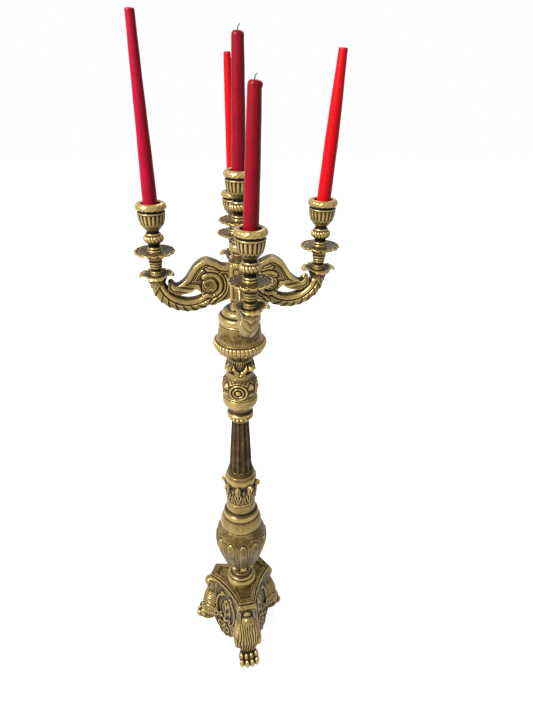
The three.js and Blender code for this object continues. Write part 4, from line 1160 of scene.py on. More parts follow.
@dataclass
class Column:
    """The column's thirteen sections, from the socle to the bell, and the relief that each carries."""

    leaves: int = 8
    lobes: int = 12
    flutes: int = 12
    beads: int = 18
    bowl_beads: int = 40
    leaf_phase: float = math.radians(-17.6)
    oval_phase: float = math.radians(-13)
    volute_phase: float = math.radians(-51.6)
    flute_phase: float = math.radians(-6.6)

    def collar_relief(self, angle: Array, height: Array, radius: Array) -> Array:
        """Leaves whose tips curl out into knobs."""
        across = offset_of(angle, self.leaves, math.radians(4))
        knob = 6.0 * bump(across, 0.62) * bump(height - 25.5, 5.6)
        leaf = 1.5 * leaf_relief(across, (height - 3) / 22, 2) * band(height, 3, 22, 4)
        tuck = -1.8 * (1 - bump(across, 0.62)) * bump(height - 25, 7)
        pinch = -0.8 * bump(across, 0.4) * bump(height - 31.5, 1.6)
        return knob + leaf + tuck + pinch

    def bulb_relief(self, angle: Array, height: Array, radius: Array) -> Array:
        """Broad gadroons on the lower half, with a pair of thin ridges between each two."""
        across = np.abs(offset_of(angle, self.lobes, math.radians(-2)))
        arch = 97 - 9 * np.clip(across / 0.62, 0, 1) ** 2.4
        low = ramp(arch - height + 0 * angle, -1.2, 2.2)
        panel = np.sqrt(np.clip(1 - (across / 0.64) ** 2, 0, 1))
        inside = 1 - ramp(across, 0.60, 0.66)
        ends = ramp(height, 2, 14)
        gadroon = low * inside * (2.6 * panel - 1.1) - 1.2 * bump(height - arch - 1.2, 1.4) * inside
        ridges = ramp(95 - height, 0, 16) * (1.5 * bump(across - 0.76, 0.055) + 1.5 * bump(across - 0.93, 0.05))
        ridges -= ramp(97 - height, 0, 12) * (1.6 * bump(across - 0.67, 0.035) + 1.3 * bump(across - 0.845, 0.035))
        return (gadroon + ridges) * ends

    def drum_relief(self, angle: Array, height: Array, radius: Array) -> Array:
        """Tall acanthus leaves with curled tips, and low ones between them."""
        tall = offset_of(angle, self.leaves, self.leaf_phase)
        low = offset_of(angle, self.leaves, self.leaf_phase + math.pi / self.leaves)
        boss = 4.8 * np.sqrt(np.clip(1 - (tall / 0.56) ** 2 - ((height - 51) / 7.5) ** 2, 0, 1))
        boss -= 2.4 * (1 - bump(tall, 0.55)) * bump(height - 50.0, 7.0)
        big = 3.4 * leaf_relief(tall / 0.92, (height - 9) / 46, 2)
        small = 2.4 * leaf_relief(low / 0.80, (height - 9) / 26, 1) * (1 - ramp(height, 29, 35))
        eyes = -3.0 * bump(np.abs(tall) - 0.62, 0.13) * bump(height - 37, 5.0)
        roll = 1.8 * bump(height - 5.0, 3.4)
        return (np.maximum(big, small) + eyes) * band(height, 10, 58, 2) + boss + roll - 0.8 * band(height, 9, 58, 2)

    def shaft_relief(self, angle: Array, height: Array, radius: Array) -> Array:
        """Flutes with round ends, parted by narrow fillets."""
        across = offset_of(angle, self.flutes, self.flute_phase)
        half = 0.76
        hollow = np.sqrt(np.clip(1 - (across / half) ** 2, 0, 1))
        pitch = 2 * math.pi * radius / self.flutes / 2 * half
        end = np.clip(np.minimum(height - 11, 129.5 - height) / pitch, 0, 1)
        round_end = np.clip(np.sqrt(np.clip(1 - (1 - end) ** 2, 0, 1)) * 1.25, 0, 1)
        inside = ramp(round_end - np.abs(across) / half, -0.12, 0.12)
        return -2.3 * hollow * inside

    def bead_relief(self, angle: Array, height: Array, radius: Array) -> Array:
        """Row of beads under the collar."""
        across = offset_of(angle, self.beads)
        row = np.clip(1 - across**2 - ((height - 9.2) / 3.9) ** 2, 0, 1)
        return 3.0 * np.sqrt(row) - 1.4 * band(height, 5.4, 13.0, 1)

    def oval_relief(self, angle: Array, height: Array, radius: Array) -> Array:
        """Four framed ovals with a boss, and leaf lines between them."""
        across = offset_of(angle, 4, self.oval_phase)
        between = offset_of(angle, 4, self.oval_phase + math.pi / 4)
        away = np.hypot(across / 0.62, (height - 16.5) / 14.5)
        frame_ring = 2.0 * bump(away - 1.0, 0.13) - 1.4 * bump(away - 0.78, 0.09) + 1.3 * bump(away - 0.60, 0.10)
        inner = -1.4 * bump(away - 0.42, 0.10) + 2.2 * np.clip(1 - (away / 0.34) ** 2, 0, 1)
        eyes = -2.6 * bump(np.hypot(across / 0.075, (height - 9.0) / 1.9), 1) - 2.4 * bump(
            np.hypot(across / 0.075, (height - 22.0) / 1.7), 1
        )
        sweep = 0.40 * strand(2.6 * np.abs(between) + 0.055 * height + 0.25 * np.sin(height / 5))
        brow = 1.2 * bump(height - 33.5 + 9 * across**2, 1.4) - 1.2 * bump(height - 30.6 + 9 * across**2, 1.0)
        outside = ramp(away, 1.12, 1.3)
        knob = 3.4 * bump(between, 0.2) * (bump(height - 25.5, 4.5) + 0.7 * bump(height - 11, 4))
        relief = frame_ring + inner + eyes + outside * (sweep * band(height, 3, 38, 4) + knob + brow * bump(across, 0.6))
        return relief * band(height, 1.5, 40, 2)

    def capital_relief(self, angle: Array, height: Array, radius: Array) -> Array:
        """Volutes at four corners and a hanging leaf between each two."""
        corner = offset_of(angle, 4, self.volute_phase)
        face = np.abs(offset_of(angle, 4, self.volute_phase + math.pi / 4))
        volute = 11.0 * bump(corner, 0.24) * bump(height - 18.0, 4.6) + 3.0 * bump(corner, 0.3) * bump(height - 23, 4)
        under = -3.4 * bump(corner, 0.42) * bump(height - 9.5, 3.4)
        edge = 6.5 + 11.0 * np.clip(face / 0.62, 0, 1) ** 1.3 + 0.7 * np.cos(10 * face)
        leaf_room = 1 - ramp(face, 0.55, 0.75)
        leaf = ramp(height - edge, -0.9, 0.9) * (1 - ramp(height - edge, 5.5, 9.0)) * leaf_room
        lip = 1.6 * bump(height - edge - 1.4, 1.5) * leaf_room
        petals = 1.5 * bump(face - 0.2, 0.13) * bump(height - 15.5, 2.6) - 1.2 * bump(face, 0.05) * band(height, 9, 17, 2)
        shade = -1.5 * bump(height - edge + 2.6, 1.8) * leaf_room
        strokes = -0.7 * np.abs(np.sin(16 * angle)) ** 4 * ramp(height, 21, 25)
        return volute + under + 3.6 * leaf + lip + petals + shade + strokes

    def bowl_relief(self, angle: Array, height: Array, radius: Array) -> Array:
        """Gadroons over the rim and petals under it."""
        across = offset_of(angle, self.bowl_beads)
        bead = np.sqrt(np.clip(1 - across**2, 0, 1))
        rim = band(height, 25.5, 37.4, 1.6) * (2.4 * bead**0.7 - 1.7)
        petal_across = offset_of(angle, 16, math.radians(6))
        petal = 1.5 * leaf_relief(petal_across, (26 - height) / 22, 2) * band(height, 6, 25, 3)
        return rim + petal

    def sections(self) -> list[Section]:
        """All sections, from the plinth upwards."""
        return [
            Section("socle_ring", 169.7, [
                [(30.6, 0), (32.2, 1.6), (33.0, 6.5), (32.7, 12.0), (31.2, 16.6), (29.0, 19.2)],
                [(27.0, 19.6), (26.9, 20.2)],
                [(27.1, 20.6), (27.9, 23.4), (27.4, 26.2), (26.0, 27.6)],
                [(24.6, 27.9), (22.4, 30.4), (21.6, 33.0), (21.5, 35.7)],
            ]),
            Section("leaf_collar", 205.7, [
                [(21.0, 0), (20.0, 6), (24.2, 15), (26.0, 23), (25.4, 28), (24.5, 33)],
            ], Finish.CAST, self.collar_relief, 192, 0.9),
            Section("gadrooned_bulb", 239.0, [
                [(26.5, 0), (36.2, 8), (45.1, 32), (52.8, 60), (55.2, 78), (52.8, 95), (47.6, 108), (42.0, 118)],
            ], Finish.CAST, self.bulb_relief, 360, 1.3, stippled_above=98.0),
            Section("shoulder_torus", 357.3, [
                [(39.8, 0), (42.8, 3.6), (43.8, 9.5), (43.0, 16.5), (40.4, 24.0), (36.8, 29.6)],
                [(36.6, 30.0), (36.2, 30.8)],
                [(36.6, 31.3), (37.3, 35), (36.3, 39), (33.8, 42.0)],
                [(32.6, 42.3), (32.2, 42.9)],
                [(31.0, 43.6), (29.2, 46.0), (28.8, 48.6)],
                [(29.4, 49.0), (30.5, 53), (30.6, 58), (29.9, 63), (28.2, 67.4)],
            ]),
            Section("leaf_drum", 425.0, [
                [(27.5, 0), (28.3, 8), (29.6, 24), (31.0, 40), (31.8, 52), (31.4, 57), (30.6, 59.7)],
            ], Finish.CAST, self.drum_relief, 288, 0.8),
            Section("drum_ring", 485.0, [
                [(29.6, 0), (31.4, 1.4), (32.0, 4.6), (31.2, 9.0), (29.4, 13.4), (28.2, 17.5)],
            ]),
            # Fluted brass sits darker: painted shade in the flutes.
            Section("fluted_shaft", 502.8, [
                [(26.8, 0), (26.3, 4), (24.4, 10), (23.0, 16), (22.2, 24), (19.8, 74), (16.9, 124), (17.2, 131.7)],
            ], Finish.FLUTED, self.shaft_relief, 300, 1.5),
            Section("bead_collar", 634.8, [
                [(18.6, 0), (19.0, 2.5), (20.6, 5.0)],
                [(22.2, 5.4), (23.4, 7.0), (23.6, 9.2), (23.4, 11.4), (22.6, 12.9)],
                [(22.8, 13.4), (25.0, 14.2)],
                [(25.2, 14.6), (24.8, 16.8), (22.4, 19.2), (20.9, 20.6)],
                [(20.6, 21.0), (20.7, 25.0), (21.6, 29.7)],
            ], Finish.CAST, self.bead_relief, 288, 0.7),
            Section("torus_ring", 664.8, [
                [(22.6, 0), (26.6, 3.2), (29.9, 7.6), (32.2, 12.5), (32.9, 17.6), (32.2, 22.6), (30.8, 25.0)],
                [(29.9, 25.2), (29.7, 25.8)],
                [(30.3, 26.2), (30.6, 27.4), (29.7, 28.7)],
            ]),
            Section("cartouche_bulb", 693.8, [
                [(29.3, 0), (31.2, 6), (32.0, 13), (32.1, 21), (29.8, 30), (26.6, 37), (25.0, 41.7)],
            ], Finish.CAST, self.oval_relief, 288, 0.7),
            Section("leaf_capital", 735.8, [
                [(24.0, 0), (23.6, 6), (23.4, 12), (23.2, 18), (21.9, 24), (20.9, 28), (20.5, 32.7)],
            ], Finish.CAST, self.capital_relief, 256, 0.7),
            Section("beaded_bowl", 768.8, [
                [(21.0, 0), (24.2, 6), (35.0, 15.5), (42.6, 23.6), (44.2, 26.4)],
                [(44.6, 27.0), (46.0, 29.6), (46.4, 32.4), (45.4, 35.4), (43.4, 37.2)],
                [(42.2, 37.5), (41.0, 39.7)],
            ], Finish.CAST, self.bowl_relief, 400, 0.9),
        ]

    def bell(self) -> None:
        """Builds the bell, with the well for the upper nut and the spigot."""
        foot, top, well = 808.8, 841.5, 812.5
        outside = profile_of([
            [(39.2, 0), (39.0, 4), (38.0, 10), (36.9, 18), (36.2, 25), (35.4, 28.4)],
            [(34.6, 28.7), (34.6, 29.4)],
            [(35.0, 29.8), (34.8, 31.6), (33.4, 32.7)],
        ], 1.1, foot)
        inside = evenly(np.array([
            (33.4, top), (10.8, top), (10.8, well), (5.6, well), (5.6, foot), (39.2, foot),
        ]), 3.0, 0.3)
        line = np.vstack([outside, inside[1:]])
        piece = as_object("bell_top_section", turn(line, 128))
        note_patina_and_shade(piece.data)
        place_piece(piece, Finish.POLISHED, "stand", "brass", "bell_top")

    def build(self) -> None:
        """Builds the column."""
        for section in self.sections():
            section.build()
        self.bell()


# ---- Head ----------------------------------------------------------------------------------------


@dataclass
class HeadCore:
    """Foot that turns on the spigot, square hub and centre stem."""

    hub_half: float = 17.5
    hub_bottom: float = 884.3
    hub_top: float = 942.8

    def spigot(self) -> None:
        """Builds the steel spigot that shows when the head is lifted."""
        line = np.array([
            (0, 823.8), (9.5, 823.8), (10.5, 825.3), (10.5, 841.8), (14.0, 841.8), (14.0, 844.8), (10.5, 844.8),
            (10.5, 856.0), (9.7, 856.8), (0, 856.8),
        ])
        piece = as_object("spigot_turning", turn(evenly(line, 1.5), 64))
        place_piece(piece, Finish.STEEL, "spigot", "steel", "spigot")

    def foot(self) -> None:
        """Builds the foot."""
        outside = profile_of([
            [(34.9, 0), (36.3, 1.2), (36.7, 5.4), (36.0, 9.6), (33.6, 12.0)],
            [(31.6, 12.3), (30.6, 13.0)],
            [(30.4, 13.4), (30.0, 16.0), (28.0, 20.0), (23.6, 23.4)],
            [(21.4, 24.0), (17.6, 25.2), (14.0, 28.6)],
        ], 0.9, 842.4)
        hollow = np.array([(0, 857.1), (10.8, 857.1), (10.8, 845.1), (14.3, 845.1), (14.3, 842.4), (34.9, 842.4)])
        lid = np.array([(14.0, 871.0), (3.85, 871.0), (3.85, 859.8), (0, 859.8)])
        line = np.vstack([evenly(hollow, 2.5), outside[1:], evenly(lid, 2.5)[1:]])
        piece = as_object("head_foot_turning", turn(line, 128))
        note_patina_and_shade(piece.data)
        place_piece(piece, Finish.POLISHED, "head", "brass", "head_foot")

    def hub_relief(self, angle: Array, height: Array, radius: Array) -> Array:
        """Squares the hub above its spindle and frames each of its faces."""
        cosine = np.maximum(np.abs(np.cos(angle)), np.abs(np.sin(angle)))
        square = ramp(height, 11, 14.5)
        corner = np.minimum(self.hub_half / cosine, self.hub_half * 1.33)
        side = np.abs(radius * np.tan(np.arccos(np.clip(cosine, 0.7, 1))))
        sunk = -0.9 * (1 - ramp(side, 11.2, 12.6)) * band(height, 18, 67, 2)
        return square * (corner - self.hub_half + sunk)

    def build(self) -> None:
        """Builds the core of the head."""
        self.spigot()
        self.foot()
        Section("hub", 871.3, [
            [(13.0, 0), (14.2, 1.6), (15.6, 5.4), (16.4, 9.2), (17.5, 12.6)],
            [(17.5, 14.0), (17.5, 40.0), (17.5, 69.0)],
            [(17.2, 70.2), (16.2, 71.5)],
        ], Finish.CAST, self.hub_relief, 192, 1.1, 3.85, "head").build()
        Section("centre_stem", 943.1, [
            [(17.5, 0), (17.6, 2.2), (17.2, 4.0)],
            [(14.6, 4.6), (12.2, 8.2), (10.6, 14.6)],
            [(12.0, 15.2), (12.6, 16.6), (12.0, 18.0)],
            [(12.6, 19.2), (16.0, 23.6), (16.5, 27.0), (15.4, 31.4), (11.6, 35.0)],
            [(11.9, 35.8), (12.0, 37.2), (11.0, 38.2)],
            [(10.0, 40.0), (9.5, 48.0), (10.4, 55.0), (12.5, 61.0)],
        ], Finish.CAST, None, 96, 0.9, 3.85, "head").build()


@dataclass
class Arm:
    """Scrolled arm: leafy tube, crest that curls over a round scroll, and the leaf cup at its end."""

    reach: float = 131.6
    bow: float = 49.2
    depth: float = 46.6
    sweep: float = 127.0
    end: float = 922.8
    scroll: tuple[float, float] = (48.6, 911.8)
    half_width: float = 9.8
    disc: tuple[float, float] = (13.0, 11.5)
    root: float = 17.8
    seat: float = 928.8
    cup_foot: float = 911.8

    def outline(self) -> Array:
        """Outline of crest and scroll in the arm's plane.

        Returns:
            Points of X and Z.
        """
        pieces = [
            [(self.root, 885.3), (self.root, 913), (self.root, 941.8)],
            [(17.8, 941.8), (28.7, 943.3), (39.5, 949.3), (54.4, 953.6), (68.5, 946.3), (77.6, 935.8), (85.1, 923.8),
             (93.4, 915.3), (102.0, 911.0), (106.7, 914.4), (110.4, 917.6), (114.8, 916.0), (115.6, 904.0)],
            [(115.6, 904.0), (102.5, 897.3), (90.9, 896.8), (81.8, 899.3), (71.0, 905.4), (64.4, 899.8)],
            [(64.4, 899.8), (56.9, 882.8), (46.1, 875.8), (30.3, 881.3), (17.8, 885.3)],
        ]
        return np.vstack([evenly(curve_through(piece), 1.2, 0)[:-1] for piece in pieces])

    def plate(self) -> Surface:
        """Flat casting of crest and scroll."""
        line = self.outline()
        count = len(line)
        rows = [np.column_stack([line[:, 0], np.full(count, y), line[:, 1]]) for y in (-self.half_width, self.half_width)]
        faces: list[tuple[int, ...]] = [(i, (i + 1) % count, count + (i + 1) % count, count + i) for i in range(count)]
        faces += [tuple(range(count))[::-1], tuple(range(count, 2 * count))]
        return facing_out(Surface(np.vstack(rows), faces))

    def path(self, inward: float = 0.0) -> Array:
        """Path of the tube.

        Args:
            inward: How far inside its middle line the path runs.

        Returns:
            Points of X and Z, from the cup to the scroll.
        """
        angle = np.radians(np.linspace(0, self.sweep, 90))
        bow, depth = self.bow - inward, self.depth - inward
        return np.stack([self.reach - self.bow + bow * np.cos(angle), self.end - depth * np.sin(angle)], axis=1)

    def around_scroll(self, start: float, stop: float, first: float, last: float) -> Array:
        """Arc about the scroll's middle, from one heading and radius to others."""
        turn_about = np.radians(np.linspace(start, stop, 50))
        radius = np.linspace(first, last, 50)
        return np.stack([self.scroll[0] + radius * np.cos(turn_about), self.scroll[1] + radius * np.sin(turn_about)], 1)

    def tube_relief(self, places: Array) -> Array:
        """Leaf scales on the tube's outer side and slanted veins under the scroll."""
        out, side, up = places.T
        path = self.path()
        gaps = np.hypot(out[:, None] - path[None, :, 0], up[:, None] - path[None, :, 1])
        length = np.concatenate([[0], np.cumsum(np.linalg.norm(np.diff(path, axis=0), axis=1))])
        along = length[gaps.argmin(axis=1)]
        outward = np.hypot((out - self.reach + self.bow) / self.bow, (up - self.end) / self.depth) - 1
        tilt = np.abs(np.arctan2(side, outward * 48))
        on_tube = (gaps.min(axis=1) < 15.5) * (1 - ramp(up, self.end - 8, self.end - 3))
        scroll_away = np.hypot(out - self.scroll[0], up - self.scroll[1])
        leafy = on_tube * (1 - ramp(tilt, 1.45, 1.75))
        lobes = np.mod((along + 6.5 * tilt + 2.2 * np.abs(np.sin(2.6 * tilt + along / 4))) / 12.5, 1)
        scales = 2.0 * (lobes**1.6 - 0.42) * ramp(scroll_away, 30, 38)
        veins = 0.9 * strand((along - 11 * tilt) / 5.5) * (1 - ramp(scroll_away, 32, 38))
        border = -1.3 * bump(tilt - 1.72, 0.12) * on_tube * ramp(scroll_away, 24, 30)
        return leafy * (scales + veins) + border

    def crest_relief(self, out: Array, up: Array) -> Array:
        """Rounded rim, almond leaf and veins of the crest, and the scroll's bands."""
        band_line = np.vstack([self.around_scroll(52, 285, 15.5, 19.5), self.path(7.0)[::-1][8:-12]])
        second = self.around_scroll(128, 262, 23.5, 25.0)
        third = self.around_scroll(150, 248, 29.0, 30.5)
        outline = self.outline()
        crest = outline[(outline[:, 1] > 905) & (outline[:, 0] > self.root + 2) & (outline[:, 0] < 104)]
        gap = distance_to(band_line, out, up)
        relief = 1.5 * bump(gap, 3.2) - 1.3 * bump(gap - 4.9, 1.0)
        taken = 1 - ramp(gap, 5.5, 7.0)
        for line in (second, third):
            relief += (1 - taken) * (1.0 * bump(distance_to(line, out, up), 1.5))
        edge = distance_to(crest, out, up)
        rim = 1.3 * bump(edge - 3.6, 4.0) - 1.5 * bump(edge - 8.6, 0.9)
        almond_x = (out - 43) * math.cos(-0.12) - (up - 936.5) * math.sin(-0.12)
        almond_z = (out - 43) * math.sin(-0.12) + (up - 936.5) * math.cos(-0.12)
        almond = np.hypot(almond_x / 13.0, almond_z / (6.6 * np.clip(1.15 - np.abs(almond_x) / 26, 0.3, 1.2)))
        leaf = 1.0 * np.clip(1 - almond**2, 0, 1) - 1.4 * bump(almond - 1.08, 0.13) - 0.9 * (
            bump(almond_z - 0.12 * almond_x - 0.8, 0.7) * (almond < 0.85)
        )
        veins = -1.1 * sum(bump(edge - offset, 0.75) for offset in (11.6, 14.6, 17.8)) * ramp(out, 50, 58)
        away = np.hypot(out - self.scroll[0], up - self.scroll[1])
        outside = ramp(away, self.disc[0] + 1, self.disc[0] + 4) * (1 - taken)
        inner_leaf = 0.9 * bump(edge - 13.2, 1.3) * ramp(out, 52, 60)
        relief += outside * (rim + leaf * ramp(edge, 7.5, 9) + veins * (almond > 1.1) + inner_leaf)
        heading = np.arctan2(up - self.scroll[1], out - self.scroll[0])
        crescent = -1.7 * bump(away - 10.9, 1.1) * ramp(np.cos(2 * (heading + 0.9)), -0.7, 0.5)
        swirl = -0.9 * bump(np.hypot(out - self.scroll[0] - 3.5, up - self.scroll[1] - 1) - 7.5, 0.8) * (heading < -0.4)
        return relief + (1 - ramp(away, 12, 13.5)) * (crescent + swirl)

    def relief(self, places: Array, normals: Array) -> Array:
        """All relief on the arm."""
        out, _, up = places.T
        flank = ramp(np.abs(normals[:, 1]), 0.3, 0.7)
        return self.tube_relief(places) + flank * self.crest_relief(out, up)

    def cup(self) -> Surface:
        """Cup of four broad leaves that open outwards and droop at their tips."""
        sides = 240
        angle = np.arange(sides) * 2 * math.pi / sides
        broad = np.abs(offset_of(angle, 4))
        petal = np.clip(1 - broad**2.4, 0, 1) ** 0.85 + 0.05 * np.cos(5 * math.pi * broad)
        reach = np.clip(0.44 + 0.56 * petal, 0.4, 1)[None, :]
        outside = evenly(curve_through([
            (11.2, self.cup_foot), (13.2, 917.0), (14.8, 922.5), (17.6, 927.6), (21.6, 930.4), (25.2, 930.0), (27.4, 927.2),
        ]), 0.8, 0)
        inside = evenly(curve_through([
            (12.6, self.seat), (15.0, 929.6), (18.2, 931.0), (21.8, 932.2), (25.8, 931.8), (28.4, 928.4),
        ]), 0.8, 0)
        rows = []
        for line, shares in ((outside, np.linspace(0, 1, 36)), (inside, np.linspace(1, 0, 26))):
            place = shares[:, None] * reach
            known = np.linspace(0, 1, len(line))
            rows.append(np.stack([np.interp(place, known, line[:, i]) for i in (0, 1)], axis=-1))
        shape = np.vstack(rows)
        share = np.concatenate([np.linspace(0, 1, 36), np.linspace(1, 0, 26)])[:, None]
        ribs = 1.0 * bump(broad, 0.07) + 0.5 * strand(1.7 * broad + 1.3 * share) * ramp(broad, 0.05, 0.2) - 0.3
        lift = ribs * band(share, 0.25, 0.96, 0.2) * np.where(np.arange(62)[:, None] < 36, 0.9, 0.7)
        radius, level = shape[..., 0] + 0.3 * lift, shape[..., 1]
        level = level + lift * np.where(np.arange(62)[:, None] < 36, -0.8, 0.8)
        grid = np.stack([self.reach + radius * np.sin(angle), -radius * np.cos(angle), level], axis=-1)
        return grid_surface(grid, caps=True)

    def build(self) -> None:
        """Builds the four arms from one pattern."""
        path = self.path()
        size = np.interp(np.linspace(0, 1, len(path)), [0, 0.3, 0.6, 1], [11.8, 12.9, 12.2, 11.4])
        tube = tube_along(path, np.stack([size, size * 0.97], axis=1), 44)
        disc_radius, disc_half = self.disc
        line = np.array([
            (0, -disc_half), (disc_radius - 1.2, -disc_half), (disc_radius, -disc_half + 1.2),
            (disc_radius, disc_half - 1.2), (disc_radius - 1.2, disc_half), (0, disc_half),
        ], float)
        disc = turn(evenly(line, 2.0, 0), 64).turned(math.pi / 2, "X").moved(self.scroll[0], 0, self.scroll[1])
        polar = np.linspace(0, math.pi, 17)
        ball = turn(np.stack([5.2 * np.sin(polar), -5.2 * np.cos(polar)], axis=1).round(9), 32).moved(110.2, 0, 916.2)
        pattern = as_object("arm_pattern", self.plate().joined(tube, disc, ball))
        fuse(pattern, 0.75, 6)
        emboss(pattern, self.relief)
        cup = as_object("cup_pattern", self.cup())
        merged = self.merged(pattern, cup)
        note_patina_and_shade(merged)
        sets = {"front": (3.5, 0.0), "right": (0.0, 0.0), "back": (14.0, -3.0), "left": (0.0, 0.0)}
        for index, (name, (drop, swing)) in enumerate(sets.items()):
            arm = bpy.data.objects.new(f"arm_{name}_casting", merged)
            angle = math.radians(-90 + 90 * index + swing)
            arm.matrix_world = Matrix.Translation((0, 0, -drop * MM)) @ Matrix.Rotation(angle, 4, "Z")
            bpy.context.scene.collection.objects.link(arm)
            place_piece(arm, Finish.CAST, "head", "brass", f"arm_{name}")
        for piece in (pattern, cup):
            bpy.data.objects.remove(piece)

    @staticmethod
    def merged(first: bpy.types.Object, second: bpy.types.Object) -> bpy.types.Mesh:
        """One mesh of two objects.

        Args:
            first: One object.
            second: The other.

        Returns:
            The mesh.
        """
        shapes = []
        for piece in (first, second):
            places, _ = corners_of(piece.data)
            shapes.append(Surface(places, [tuple(face.vertices) for face in piece.data.polygons]))
        joint = as_object("arm_casting", shapes[0].joined(shapes[1]))
        mesh = joint.data
        bpy.data.objects.remove(joint)
        return mesh


@dataclass
class Place:
    """Where a light stands: its name, the axis of its socket, and how far it hangs down."""

    name: str
    x: float
    y: float
    drop: float


def places_of_lights(reach: float = 131.6) -> list[Place]:
    """The five places of the lights.

    Args:
        reach: Column's axis to an outer socket's axis.

    Returns:
        The centre and the four arms' ends.
    """
    back = math.radians(87)
    return [
        Place("centre", 0, 0, -45.3),
        Place("front", 0, -reach, 3.5),
        Place("right", reach, 0, 0),
        Place("back", reach * math.cos(back), reach * math.sin(back), 14),
        Place("left", -reach, 0, 0),
    ]


@dataclass
class Light:
    """One light: ridged neck, drip pan and urn-shaped socket."""

    place: Place
    neck_foot: float = 929.1
    pan_foot: float = 959.1
    socket_foot: float = 967.7
    scallops: int = 16
    arches: int = 20
    reeds: int = 16

    def neck(self) -> None:
        """Builds the neck under an outer pan, with its studs."""
        line = profile_of([
            [(3.5, -7.0), (3.5, 0)],
            [(9.8, 0), (9.8, 3.4)],
            [(9.0, 4.0), (9.3, 5.6), (8.4, 7.2)],
            [(7.8, 8.0), (7.7, 10.0), (8.3, 11.4)],
            [(9.1, 12.0), (9.4, 13.4), (8.9, 14.6)],
            [(8.6, 15.2), (9.9, 16.2), (10.0, 17.8), (9.2, 19.0)],
            [(9.0, 19.6), (10.6, 20.6), (10.8, 22.2), (10.2, 23.4)],
            [(10.0, 24.0), (11.6, 26.8), (12.5, 29.7)],
            [(3.5, 29.7), (3.5, 45.6)],
            [(0, 45.6), (0, 45.6)],
        ], 0.8, self.neck_foot - self.place.drop)
        line = np.vstack([[0, line[0, 1]], line[line[:, 0] > 0.01], [0, line[-1, 1]]])
        piece = as_object(f"neck_{self.place.name}_turning", turn(line, 72).moved(self.place.x, self.place.y))
        note_patina_and_shade(piece.data)
        # Dark brass on the neck is painted shade under the pan.
        place_piece(piece, Finish.DARK, "head", "dark_brass", f"neck_{self.place.name}")

    def pan(self) -> None:
        """Builds the drip pan with its scalloped rim."""
        foot = self.pan_foot - self.place.drop
        line = profile_of([
            [(3.85, 0), (13.5, 0)],
            [(14.0, 0.3), (20.0, 3.0), (26.0, 6.0), (30.2, 8.4)],
            [(31.0, 8.7), (31.7, 9.6), (31.3, 10.8)],
            [(30.3, 11.2), (28.8, 10.6), (26.8, 9.7), (22.0, 8.9), (15.0, 8.3)],
            [(3.85, 8.3), (3.85, 0)],
        ], 0.7, foot)

        def rim(angle: Array, height: Array, radius: Array) -> Array:
            """Scallops of the rim."""
            shell = np.sqrt(np.clip(1 - offset_of(angle, self.scallops) ** 2, 0, 1))
            under = ramp(radius, 17, 27) * (height < foot + 9.4)
            edge = ramp(radius, 29.4, 30.8)
            return edge * (1.7 * shell - 1.4) + under * (1 - edge) * (1.3 * shell - 1.0)

        dish = turn(line, 256, rim)
        reach = np.hypot(*dish.corners[:, :2].T)
        heading = np.arctan2(dish.corners[:, 0], -dish.corners[:, 1])
        wave = 1 - np.abs(offset_of(heading, self.scallops)) ** 2
        dish.corners[:, 2] -= 1.5 * wave * ramp(reach, 24, 31)
        piece = as_object(f"pan_{self.place.name}_dish", dish.moved(self.place.x, self.place.y))
        note_patina_and_shade(piece.data)
        place_piece(piece, Finish.CAST, "head", "brass", f"pan_{self.place.name}")

    def socket_relief(self, angle: Array, height: Array, radius: Array) -> Array:
        """Reeds on the knop and arches round the urn."""
        foot = self.socket_foot - self.place.drop
        level = height - foot
        outside = ramp(radius, 9.5, 11.0)
        reed = offset_of(angle + 0.022 * level, self.reeds)
        knop = band(level, 15.6, 25.6, 1.2) * (1.7 * np.sqrt(np.clip(1 - reed**2, 0, 1)) - 1.2)
        arch = np.abs(offset_of(angle, self.arches))
        low = 43.5 + 3.0 * arch**2
        inside = ramp(level - low, -0.8, 0.8) * (1 - ramp(level, 58.2, 59.4))
        flute = inside * (0.30 - 0.62 * np.clip(1 - (arch / 0.60) ** 2, 0, 1) ** 0.5)
        lip = 0.7 * bump(level - low + 1.2, 0.9) * (1 - ramp(arch, 0.6, 0.9))
        dents = np.cos(9 * angle + 0.4 * level) * np.sin(4 * angle) + 0.7 * np.cos(17 * angle - 0.9 * level)
        rim = 0.26 * dents * band(level, 65, 74, 2) * ramp(radius, 19, 21)
        return outside * (knop + (flute + lip) * (level > 36)) + rim

    def socket(self) -> None:
        """Builds the socket with the cup for its candle."""
        foot = self.socket_foot - self.place.drop
        line = profile_of([
            [(3.85, 7.3), (3.85, 0)],
            [(11.0, 0), (11.1, 0.4)],
            [(11.3, 0.8), (11.6, 2.0), (11.0, 3.3)],
            [(10.2, 3.6), (10.1, 4.2)],
            [(10.3, 4.6), (10.7, 5.9), (10.0, 7.2)],
            [(9.2, 7.6), (8.6, 9.8), (9.4, 12.4), (11.6, 14.6)],
            [(12.4, 15.0), (14.6, 17.6), (15.3, 20.6), (14.4, 23.8), (12.2, 25.6)],
            [(11.0, 25.8), (10.9, 26.3)],
            [(11.5, 26.6), (11.8, 27.8), (11.1, 29.0)],
            [(9.2, 29.3), (8.8, 30.6), (9.6, 32.6), (13.4, 37.2), (17.4, 43.6), (19.6, 50.4), (20.4, 57.6), (20.5, 59.4)],
            [(21.2, 59.8), (21.3, 60.8), (20.6, 61.6)],
            [(19.7, 62.0), (19.3, 63.2), (19.8, 64.4)],
            [(20.6, 64.8), (22.8, 66.6), (23.2, 69.4), (22.2, 72.4), (19.6, 74.6), (17.0, 75.0), (15.2, 74.2), (14.6, 72.8)],
            [(13.8, 66.0), (12.2, 56.0), (11.3, 51.0)],
            [(0, 51.0), (0, 51.0)],
        ], 0.75, foot)
        keep = line[line[:, 0] > 0.01]
        line = np.vstack([[0, foot + 7.3], keep, [0, foot + 51.0]])
        piece = as_object(
            f"socket_{self.place.name}_urn", turn(line, 200, self.socket_relief).moved(self.place.x, self.place.y)
        )
        note_patina_and_shade(piece.data)
        place_piece(piece, Finish.CAST, "head", "brass", f"socket_{self.place.name}")

